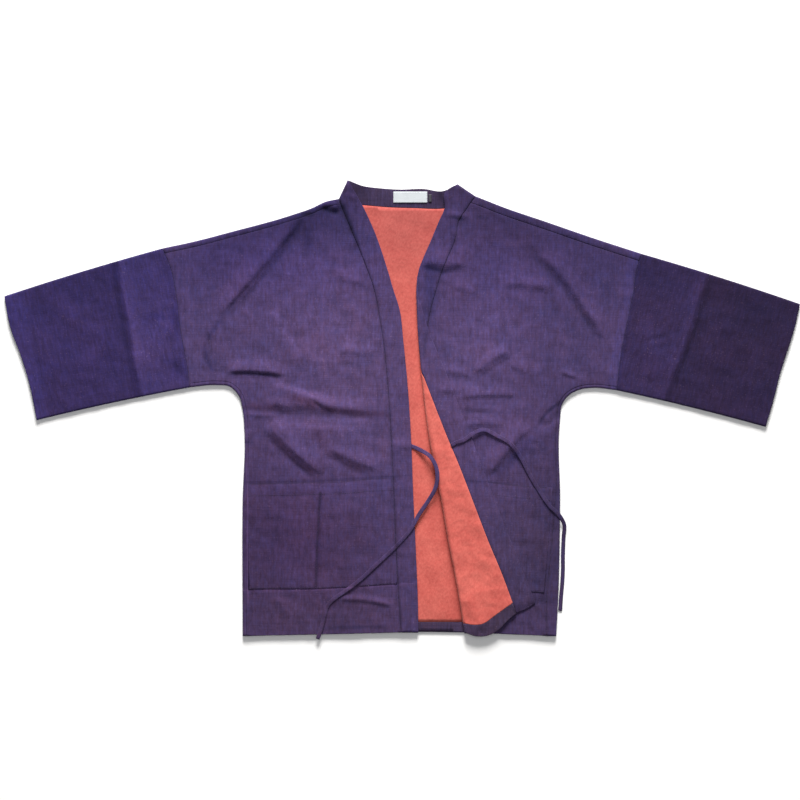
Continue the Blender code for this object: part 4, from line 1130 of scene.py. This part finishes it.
def painted_light_of(x, y, inner):
    """Gain of the colours at each place: painted light and shade on ridges and in hollows, beside seams,
    along lines and in patches
    """
    gain = np.ones((len(x), 4))

    def tint(row, share):
        gain[:, :3] *= 1 + share[:, None] * (row.red, row.green, row.blue) / PERCENT

    if not inner:
        # Painted light on the ridges of the folds and painted shade in their hollows
        fold_painted_light = FOLD_PAINTED_LIGHT * np.tanh((rise_of(FOLDS, x, y) + CREASE_PAINTED_LIGHT_SHARE * rise_of(CREASES, x, y)) / 2)
        gain[:, :3] += fold_painted_light[:, None] * FOLD_PAINTED_LIGHT_TINT
        gain[:, :3] *= 1 - SEAM_SHADE * seam_sum(x, y, lambda away: bell(away, SEAM_SHADE_WIDTH))[:, None]
        for row in SHADES:
            side = beside(row, x, y)[1]
            tint(row, eased(side / row.soft + 0.5) * eased((row.reach - side) / row.soft + 0.5))
    for row in LINING_TONES if inner else PAINTED_LIGHT_PATCHES:
        tint(row, bell(x - row.x, row.wide) * bell(y - row.y, row.high))
    for row in LINING_STREAKS if inner else PAINTED_LIGHT_STREAKS:
        tint(row, ridge(row, x, y))
    return np.clip(gain, 0.1, 2)


def places_in(mesh):
    """X and Y of a mesh's points in millimetres"""
    places = np.empty(len(mesh.vertices) * 3)
    mesh.vertices.foreach_get("co", places)
    return (places.reshape(-1, 3) / MM)[:, :2].T


def surface_mesh(name, patches, rim=None, inner=False):
    """Patches joined to a smooth mesh in metres with its painted light and shade, and painted shade along a
    rim
    """
    shape = bmesh.new()
    for points, faces in patches:
        corners = [shape.verts.new(p) for p in points * MM]
        for face in faces:
            shape.faces.new([corners[i] for i in face])
    bmesh.ops.remove_doubles(shape, verts=shape.verts, dist=WELD * MM)
    bmesh.ops.dissolve_degenerate(shape, edges=shape.edges, dist=WELD * MM)
    bmesh.ops.recalc_face_normals(shape, faces=shape.faces)
    mesh = bpy.data.meshes.new(name)
    shape.to_mesh(mesh)
    shape.free()
    mesh.shade_smooth()
    x, y = places_in(mesh)
    gain = painted_light_of(x, y, inner)
    if rim is not None:
        away = np.min([line_distance(x, y, line) for line in rim], axis=0)
        gain[:, :3] *= 1 - RIM_SHADE * bell(away, RIM_WIDTH)[:, None]
    painted_light = mesh.color_attributes.new("painted_light", "FLOAT_COLOR", "POINT")
    painted_light.data.foreach_set("color", gain.ravel())
    return mesh


def placed(name, data, place=(0, 0, 0)):
    """An object at its place in the scene"""
    made = bpy.data.objects.new(name, data)
    made.location = place
    bpy.context.scene.collection.objects.link(made)
    return made


def piece(name, mesh, skin, slot, *nodes):
    """An object that rides on the jacket and stands for some of its nodes"""
    made = placed(name, mesh)
    mesh.materials.append(skin)
    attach(made, "root")
    if nodes:
        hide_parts(*nodes)
    return made


def thin_along(made, wall, line):
    """Makes a wall thinner towards a line that it is pressed flat along"""
    full = 1 - bell(line_distance(*places_in(made.data), line), PRESSED_WIDTH)
    group = made.vertex_groups.new(name="full")
    for i, share in enumerate(full.tolist()):
        group.add([i], share, "REPLACE")
    wall.vertex_group = "full"
    wall.thickness_vertex_group = PRESSED_SHARE


def cloth(node, patches, thickness, skin, slot="outer_cloth", flat=None,
          rim=None, pressed=None):
    """A cut piece of cloth in place of its node"""
    flat, area = CUTS.get(node, (flat, None))
    mesh = surface_mesh("cloth_" + node, patches, rim, skin == CORAL)
    made = piece(mesh.name, mesh, skin, slot, node)
    wall = made.modifiers.new("wall", "SOLIDIFY")
    wall.thickness = thickness * MM
    wall.offset = 0
    if pressed is not None:
        thin_along(made, wall, pressed)


class Half:
    """Lines of one half of the body. turn is 1 where a line's left is inside, and -1 elsewhere."""

    def __init__(self, turn, side, shoulder, seam, cuff, wrap, shoulder_width, neck_fold, neck, collar,
                 band, free_edge):
        room = turn * GAP / 2
        self.turn = turn
        self.arm_seam = curve(seam)
        self.body_seam = moved(self.arm_seam, -room)
        self.sleeve_seam = moved(self.arm_seam, room)
        self.cuff = curve(cuff, count=len(self.arm_seam) - 1)
        self.join = column_line(band, "seam", [neck_fold[0]])
        self.front_seam = moved(self.join, room)
        self.band_seam = moved(self.join, -room)
        self.free_edge = column_line(band, "edge", free_edge)
        self.side = np.vstack([curve(side)[:-1], self.body_seam[-1:]])
        self.shoulder = np.vstack([self.body_seam[:1], curve(shoulder)[1:-1], self.front_seam[:1]])
        self.neck_fold = curve([mixed(*neck_fold, NECK_ROOM), neck_fold[1]])
        self.seam_low = heading(neck_fold[0], neck)
        self.edge_low = heading(neck_fold[1], collar)
        parts, widths = zip(*wrap)
        self.side_width = np.interp(np.linspace(0, 1, len(self.side)), parts, widths)
        self.shoulder_width = shoulder_width

    def side_at(self, depth):
        """The side's outline from hem to sleeve, moved inward"""
        return inset(self.side, depth, self.turn, (-self.turn, 0), heading(*self.body_seam[:-3:-1]))

    def shoulder_at(self, depth):
        """The shoulder's outline from sleeve to neck, moved inward"""
        ways = heading(*self.body_seam[:2]), heading(*self.front_seam[:2])
        return inset(self.shoulder, depth, self.turn, *ways)

    def seam_between(self, over, side):
        """Points of the sleeve seam from a shoulder line down to a side line"""
        return past(past(self.body_seam, over[0])[::-1], side[-1])[::-1]

    def wrapped(self):
        """The back's rounded edges, and its cloth on the front up to the seams"""
        patches = []
        for line_at, width in ((self.side_at, self.side_width), (self.shoulder_at, self.shoulder_width)):
            near, far = line_at(ROUND), line_at(width - GAP / 2)
            rows = roll(near, line_at(SHELL / 2), level(BACK_Z), top)
            rows += [lay(mixed(near, far, share), top) for share in WRAP_ROWS]
            patches.append(net(rows))
        return patches

    def front_loop(self, fold=()):
        """Outline of the flat front: side, shoulder, seam to its band and maybe fold, and hem"""
        side = self.side_at(self.side_width + GAP / 2)
        over = self.shoulder_at(self.shoulder_width + GAP / 2)
        seam = past(self.front_seam, over[-1])
        if len(fold):
            seam = np.vstack([seam[:-1], fold])
        hem = hem_between(seam[-1][0], side[0][0])
        return np.vstack([side, self.seam_between(over, side)[::-1], over, seam, hem])

    def neck_roll(self):
        """The band turning over at the neck, down to the back of the collar"""
        seam_way, edge_way = heading(*self.band_seam[:2]), heading(*self.free_edge[:2])
        middle = mixed(seam_way, self.seam_low, 0.5), mixed(edge_way, self.edge_low, 0.5)
        low = inset(self.neck_fold, BAND_ROUND, self.turn, self.seam_low, self.edge_low)
        outer = inset(self.neck_fold, BAND / 2, self.turn, *middle)
        high = inset(self.neck_fold, BAND_ROUND, self.turn, seam_way, edge_way)
        return roll(low, outer, level(COLLAR_BACK_Z), band_top, high)


def hem_between(x0, x1, lift=0.0):
    """Points of the hem between two places, from the first to the second"""
    line = curve(HEM)
    line = line[(line[:, 0] > min(x0, x1) + CORNER_ROOM) & (line[:, 0] < max(x0, x1) - CORNER_ROOM)]
    return (line if x0 < x1 else line[::-1]) + (0, lift)


def body_loop(depth, neck, hem):
    """Outline of a layer of the back, moved inward from the jacket's"""
    side_r, side_l = RIGHT.side_at(depth), LEFT.side_at(depth)
    over_r, over_l = RIGHT.shoulder_at(depth), LEFT.shoulder_at(depth)
    right = [side_r, RIGHT.seam_between(over_r, side_r)[::-1], over_r]
    left = [over_l[::-1], LEFT.seam_between(over_l, side_l), side_l[::-1]]
    return np.vstack(right + [neck] + left + hem)


def make_back():
    """Back, its lining, and the hem turned up inside it"""
    neck = moved(curve(NECK), -GAP / 2)[1:-1]
    hem = hem_between(LEFT.side_at(ROUND)[0][0], RIGHT.side_at(ROUND)[0][0])
    bottom = fill(body_loop(ROUND, neck, [hem]), level(BACK_Z), COARSE, ())
    patches = [bottom] + RIGHT.wrapped() + LEFT.wrapped()
    cloth("back", patches, SHELL, OUTER)

    facing_top = BACK_FACING_Y + GAP / 2
    loop = body_loop(LINING_INSET, neck, [])
    loop = loop[loop[:, 1] > facing_top + 1]
    low = curve([(loop[-1][0], facing_top), (loop[0][0], facing_top)])
    patch = fill(np.vstack([loop, low]), lining_top, LINING_GRID, ())
    cloth("back_lining", [patch], LINING, CORAL, "lining")

    low_r, low_l = RIGHT.side_at(LINING_INSET)[0], LEFT.side_at(LINING_INSET)[0]
    upper = [(low_l[0], facing_top - GAP), (low_r[0], facing_top - GAP)]
    strip = np.vstack([low_r, hem_between(low_r[0], low_l[0], GAP), low_l, upper])
    patch = fill(strip, level(BACK_LINING_Z), LINING_GRID, ())
    cloth("back_hem", [patch], LINING, INSIDE)


def make_sleeve(node, half, skin):
    """A sleeve: a flat tube, open at the seam and at the cuff"""
    middle = len(half.cuff) // 2
    length = math.dist(mixed(half.sleeve_seam[0], half.sleeve_seam[-1], 0.5), half.cuff[middle])
    count = round(length / EDGE_STEP)
    ends = [row / length for row in EDGE_ROWS]
    rings = []
    for share in sorted([i / count for i in range(count + 1)] + ends + [1 - end for end in ends]):
        across = mixed(half.sleeve_seam, half.cuff, share)
        across[:, 1] += SLEEVE_BULGE * 4 * share * (1 - share)
        corners, ways = across[[0, -1]], np.array([heading(*across[:2]), heading(*across[:-3:-1])])
        inner, outer = corners + ways * ROUND, corners + ways * SHELL / 2
        turned = np.stack(roll(inner, outer, level(BACK_Z), top), axis=1)
        line = np.vstack([inner[:1], across[2:-2], inner[1:]])
        lower, upper = lay(line, level(BACK_Z)), lay(line[::-1], top)
        rings.append(np.vstack([lower, turned[1][1:-1], upper, turned[0][-2:0:-1]]))
    across = mixed(half.sleeve_seam, half.cuff, 0.5)
    width = 2 * float(np.linalg.norm(np.diff(across, axis=0), axis=1).sum()) * MM
    cloth(node, [net(rings, ring=True)], SHELL, skin, flat=(width, length * MM))


def make_pocket(node, upper, lower, hem_start=0, dividers=()):
    """A patch pocket. Gives the rows of stitches of its hem, lower edge and dividers."""
    upper, lower = curve(upper), curve(lower)
    loop = np.vstack([upper, lower[::-1]])
    edge = np.vstack([loop[::3], loop[:1]])
    cloth(node, [fill(loop, pocket_surface([edge]))], POCKET, OUTER,
          rim=[upper[::4], *dividers], pressed=edge)
    rows = [moved(upper, -POCKET_HEM)[hem_start:], moved(lower, POCKET_SEAM), *dividers]
    surface = pocket_surface([upper[::4], lower[::4]])
    return [on(row, surface, POCKET / 2 + STITCH_LIFT) for row in rows]


def make_front_right():
    """Right front with its pocket. Gives the pocket's rows of stitches."""
    loop = RIGHT.front_loop()
    cloth("front_right", [fill(loop, top)], SHELL, OUTER)
    return make_pocket("pocket_right", POCKET_RIGHT_TOP, POCKET_RIGHT_LOW,
                       dividers=[DIVIDER])


def make_collar_right():
    """Right collar band, from the neck fold to the hem"""
    rows = RIGHT.neck_roll()
    start = rows[-1][:, :2]
    loop = np.vstack([start, past(RIGHT.free_edge, start[-1]), past(RIGHT.band_seam, start[0])[::-1]])
    patches = [net(rows), fill(loop, band_top)]
    cloth("collar_right", patches, BAND, OUTER)


def seam_on_lapel(side):
    """Seam of the band where the front is turned back, moved to one side of it"""
    start = (float(read(LAPEL, "seam", CROSS_HIGH)[0]), CROSS_HIGH)
    return moved(curve([start] + LAPEL_SEAM), side * GAP / 2)


def make_lapel_layer(node, skin, slot, start, end, far):
    """A layer on the lapel: tucked in under the fold, round it and up to its far edge"""
    rows = lapel_roll(start, end, LINING / 2, lining_low, lining_high)
    tuck = lay(rows[0][:, :2] + (TUCK, 0), lining_low)
    patches = [net([tuck] + rows), fill(np.vstack([rows[-1][:, :2], *far]), lining_high)]
    cloth(node, patches, LINING, skin, slot)


def make_front_left():
    """Left front, which lies on itself past its fold, with its pocket, lining and hem. Gives the
    rows of stitches of the pocket and of the hem."""
    crossing = (CROSS_LOW - CROSS_ROOM, CROSS_HIGH - CROSS_ROOM)
    fold_hem = (FOLD_HEM_Y, FOLD_HEM_Y)
    rows = lapel_roll(crossing, fold_hem, LAPEL_SHELL_OUT, top, lapel_top)
    seam, hem = seam_on_lapel(-1), curve(LAPEL_HEM)[1:]
    lapel = np.vstack([rows[-1][:, :2], hem, seam[:0:-1]])
    patches = [fill(LEFT.front_loop(rows[0][:, :2]), top), net(rows), fill(lapel, lapel_top)]
    cloth("front_left", patches, SHELL, OUTER)
    sewn = make_pocket("pocket_left", POCKET_LEFT_TOP, POCKET_LEFT_LOW, hem_start=3)

    facing = curve(FACING_TOP)
    above, below = (FACING_TOP[0][1] + side * GAP / 2 for side in (1, -1))
    seam = seam[seam[:, 1] > FACING_TOP[-1][1] + GAP]
    make_lapel_layer("front_left_lining", CORAL, "lining", crossing, (above, above),
                     [moved(facing, GAP / 2)[1:], seam[:0:-1]])
    make_lapel_layer("front_left_hem", INSIDE, "outer_cloth", (below, below), fold_hem,
                     [hem, moved(facing, -GAP / 2)[:0:-1]])
    return sewn, [on(moved(facing, -FACING_SEAM)[1:-1], lining_high, LINING / 2)]


def curl_rows():
    """The left band's edge, curling up until it is turned over, down to its seam"""
    rows = []
    layer = (BAND / 2, band_top, band_high)
    for share in SHARES:
        last = mixed(CROSS_LOW, CROSS_HIGH, share) + CROSS_ROOM
        curl = lapel_row(share, CURL_TOP, CURL_END, CURL_STEPS, *layer)
        turned = lapel_row(share, CURL_END, last, TURNED_STEPS, *layer)
        x = read(LAPEL, "fold", curl[:, 1]) + LAPEL_ROUND * (1 - share)
        flat = lay(np.column_stack([x, curl[:, 1]]), band_top)
        up = eased(np.arange(CURL_STEPS + 1) / CURL_STEPS)[:, None]
        rows.append(np.vstack([mixed(flat, curl, up), turned[1:]]))
    return rows


def make_collar_left():
    """Left collar band: flat at the neck, then curling up and turned back"""
    rows, curl = LEFT.neck_roll(), curl_rows()
    start = rows[-1][:, :2]
    edge = past(LEFT.free_edge, start[-1])
    edge = edge[edge[:, 1] > CURL_TOP + EDGE_STEP / 3]
    first = np.array([row[0][:2] for row in curl[:0:-1]])
    seam = past(LEFT.band_seam, start[0])[-2::-1]
    lower = np.vstack([start, edge, first, curl[0][:, :2], seam])
    free = column_line([row for row in LAPEL if CURL_END >= row.y > LAPEL_END_Y], "edge")
    upper = [curl[-1][CURL_STEPS:, :2], seam_on_lapel(1)[1:], curve(LAPEL_BAND_END)[1:], free[::-1]]
    patches = [net(rows), fill(lower, band_top), net(curl), fill(np.vstack(upper), band_high)]
    cloth("collar_left", patches, BAND, OUTER, pressed=LAPEL_FREE_EDGE)


def make_collar_back():
    """Back of the collar, lying flat with its inner face up"""
    right, left = (inset(half.neck_fold, COLLAR_BACK_INSET, half.turn, half.seam_low, half.edge_low)
                   for half in (RIGHT, LEFT))
    neck = moved(curve(NECK), GAP / 2)[1:-1]
    loop = np.vstack([right, curve(COLLAR_TOP)[1:-1], left[::-1], neck[::-1]])
    cloth("collar_back", [fill(loop, collar_back_top)], BAND, INSIDE)


def sides_of(corner, size, step):
    """The four sides of an upright rectangle, inset by a step"""
    x0, y0 = corner[0] + step, corner[1] + step
    x1, y1 = x0 + size[0] - 2 * step, y0 + size[1] - 2 * step
    corners = [(x0, y0), (x1, y0), (x1, y1), (x0, y1), (x0, y0)]
    return list(zip(corners, corners[1:]))


def make_labels():
    """The neck label and the size tab, both blank. Gives the label's rows of stitches."""
    flat = (LABEL_SIZE[0] * MM, LABEL_SIZE[1] * MM)
    for node, slot, colour, corner, size, surface, flat in (
        ("label", "label_cloth", LABEL_COLOUR, LABEL_CORNER, LABEL_SIZE, label_top, flat),
        ("size_tab", "tab_cloth", TAB_COLOUR, TAB_CORNER, TAB_SIZE, level(LABEL_Z), None),
    ):
        loop = np.vstack([curve(side, LABEL_STEP)[:-1] for side in sides_of(corner, size, 0)])
        patch = fill(loop, surface, LABEL_GRID, ())
        cloth(node, [patch], LABEL, satin(slot, colour), slot, flat)
    return [on(side, label_top, LABEL / 2) for side in sides_of(LABEL_CORNER, LABEL_SIZE, LABEL_SEAM)]


def make_tie(node, route):
    """A flat sewn tie along its route"""
    middle = curve(route, TIE_STEP)
    x, y = middle[:, 0], middle[:, 1]
    middle[:, 2] += (top(x, y) - swells(x, y, 1)) * eased((middle[:, 2] - TIE_LOW) / TIE_LOW)
    way = unit(np.gradient(middle, axis=0))
    side, up = frame_of(way)
    run = along(middle)
    tilt = (TIE_TILT * np.sin(run / TIE_WAVES[0]) * np.sin(run / TIE_WAVES[1] + 1))[:, None]
    side, up = side * np.cos(tilt) + up * np.sin(tilt), up * np.cos(tilt) - side * np.sin(tilt)
    rings = []
    for turn in np.linspace(0, 2 * math.pi, TIE_SIDES, endpoint=False):
        wide, thick = (np.sign(part) * abs(part) ** power * size / 2 for part, power, size in zip(
            (math.cos(turn), math.sin(turn)), TIE_ROUNDING, (TIE_WIDTH, TIE)))
        rings.append(middle + side * wide + up * thick)
    points, faces = net(np.stack(rings, axis=1), ring=True)
    count = len(points)
    for k in range(TIE_SIDES):
        n = (k + 1) % TIE_SIDES
        faces += [[k, count, n], [count - 1 - k, count + 1, count - 1 - n]]
    points = np.vstack([points, middle[:1] - way[:1] * TIE_POINT, middle[-1:] + way[-1:] * TIE_POINT])
    mesh = surface_mesh("cloth_" + node, [(points, faces)])
    made = piece(mesh.name, mesh, OUTER, "outer_cloth", node)
    edge = middle + side * (TIE_WIDTH / 2 - TIE_SEAM) + up * (TIE / 2 + TIE_SEAM_LIFT)
    stitches("stitches_" + node, [edge], THREAD)


def on(line, surface, lift):
    """A smooth line laid on a piece of cloth"""
    return lay(curve(line, SEAM_STEP), surface, lift)


def stitches(name, lines, skin, pitch=STITCH_PITCH, long=STITCH_LONG):
    """Rows of short stitches along lines in space"""
    wide = len(STITCH_TURNS)
    last = 2 * wide + 1
    body = []
    for c in range(1, wide + 1):
        d = c % wide + 1
        body += [(0, d, c), (c, d, wide + d, wide + c), (last, wide + c, wide + d)]
    points, faces = [], []
    for line in lines:
        run = along(line)
        count = int(run[-1] / pitch)
        starts = (np.arange(count) + 0.5) * run[-1] / count - long / 2
        tip, near, far, end = (
            np.column_stack([np.interp(starts + long * share, run, axis) for axis in line.T])
            for share in STITCH_SHARES)
        side, up = frame_of(unit(end - tip))
        rings = [place + (side * math.cos(turn) * STITCH_WIDE + up * math.sin(turn)) * STITCH_THICK
                 for place in (near, far) for turn in STITCH_TURNS]
        low = up * STITCH_THICK * STITCH_LOW
        for stitch in np.stack([tip - low, *rings, end - low], axis=1):
            faces += [[len(points) + i for i in face] for face in body]
            points.extend(stitch * MM)
    mesh = bpy.data.meshes.new(name)
    mesh.from_pydata(np.array(points).tolist(), [], faces)
    mesh.shade_smooth()
    piece(name, mesh, skin, "outer_cloth")


def make_studio():
    """Pale floor, soft light and the camera, which looks straight down"""
    scene = bpy.context.scene
    mesh = bpy.data.meshes.new("floor")
    corners = [(FLOOR_REACH * x, FLOOR_REACH * y, 0) for x, y in ((-1, -1), (1, -1), (1, 1), (-1, 1))]
    mesh.from_pydata(corners, [], [(0, 1, 2, 3)])
    skin = Skin("floor")
    skin.put(skin.nodes["Principled BSDF"], {"Base Color": (*[FLOOR_GREY] * 3, 1), "Roughness": 0.9})
    mesh.materials.append(skin.made)
    floor = placed("floor", mesh, (0, 0, -FLOOR_DROP))

    scene.world = bpy.data.worlds.new("studio")
    scene.world.use_nodes = True
    sky = scene.world.node_tree.nodes["Background"].inputs
    sky["Color"].default_value = (1, 1, 1, 1)
    sky["Strength"].default_value = WORLD_LIGHT
    for name, place, size, power, colour in LAMPS:
        lamp = bpy.data.lights.new(name, "AREA")
        lamp.shape = "DISK"
        lamp.size = size
        lamp.energy = power
        lamp.color = colour
        placed(name, lamp, place).rotation_euler = (-Vector(place)).to_track_quat("-Z", "Y").to_euler()

    lens = bpy.data.cameras.new("camera")
    lens.sensor_width = CAMERA_SENSOR
    lens.lens = CAMERA_LENS
    scene.camera = placed("camera", lens, (*VIEW_MIDDLE, CAMERA_LENS / CAMERA_SENSOR * VIEW_WIDTH))
    scene.view_settings.view_transform = "Standard"


RIGHT = Half(
    -1, SIDE_RIGHT, SHOULDER_RIGHT, SLEEVE_SEAM_RIGHT, CUFF_RIGHT, WRAP_SIDE_RIGHT, WRAP_SHOULDER_RIGHT,
    NECK_FOLD_RIGHT, NECK[1], COLLAR_TOP[1], BAND_RIGHT, [NECK_FOLD_RIGHT[1]],
)
LEFT = Half(
    1, SIDE_LEFT, SHOULDER_LEFT, SLEEVE_SEAM_LEFT, CUFF_LEFT, WRAP_SIDE_LEFT, WRAP_SHOULDER_LEFT,
    NECK_FOLD_LEFT, NECK[-2], COLLAR_TOP[-2], BAND_LEFT, BAND_LEFT_START,
)
# Seams that show, and how deep each draws the cloth down
SEAMS = [(LEFT.side_at(LEFT.side_width)[::4], 0.3)]
for half in (RIGHT, LEFT):
    SEAMS.append((half.arm_seam[::4], 0.5))
    SEAMS.append((half.join[::5], 0.8))
    SEAMS.append((half.shoulder_at(half.shoulder_width)[::6], 0.7))
LAPEL_SEAM_LINE = seam_on_lapel(0)[::4]

OUTER = woven("outer_cloth", *OUTER_COLOURS)
INSIDE = woven("outer_cloth_inside", *INSIDE_COLOURS, streak=0.2)
CORAL = brushed("lining", CORAL_DEEP, CORAL_PALE)
THREAD = thread("thread", THREAD_COLOUR)

make_studio()
make_back()
sewn_right = make_front_right()
sewn_left, sewn_hem = make_front_left()
make_sleeve("sleeve_right", RIGHT, woven("outer_cloth_right_sleeve", *RIGHT_SLEEVE_COLOURS, turn=-0.16))
make_sleeve("sleeve_left", LEFT, woven("outer_cloth_left_sleeve", *LEFT_SLEEVE_COLOURS, turn=0.2))
make_collar_right()
make_collar_left()
make_collar_back()
sewn_label = make_labels()
make_tie("tie_right", TIE_RIGHT)
make_tie("tie_left", TIE_LEFT)
stitches("stitches_pocket_right", sewn_right, THREAD)
stitches("stitches_pocket_left", sewn_left, THREAD)
stitches("stitches_label", sewn_label, thread("pale_thread", LABEL_COLOUR), pitch=2.6, long=1.8)
stitches("stitches_lapel_hem", sewn_hem, THREAD, pitch=6.0, long=2.2)
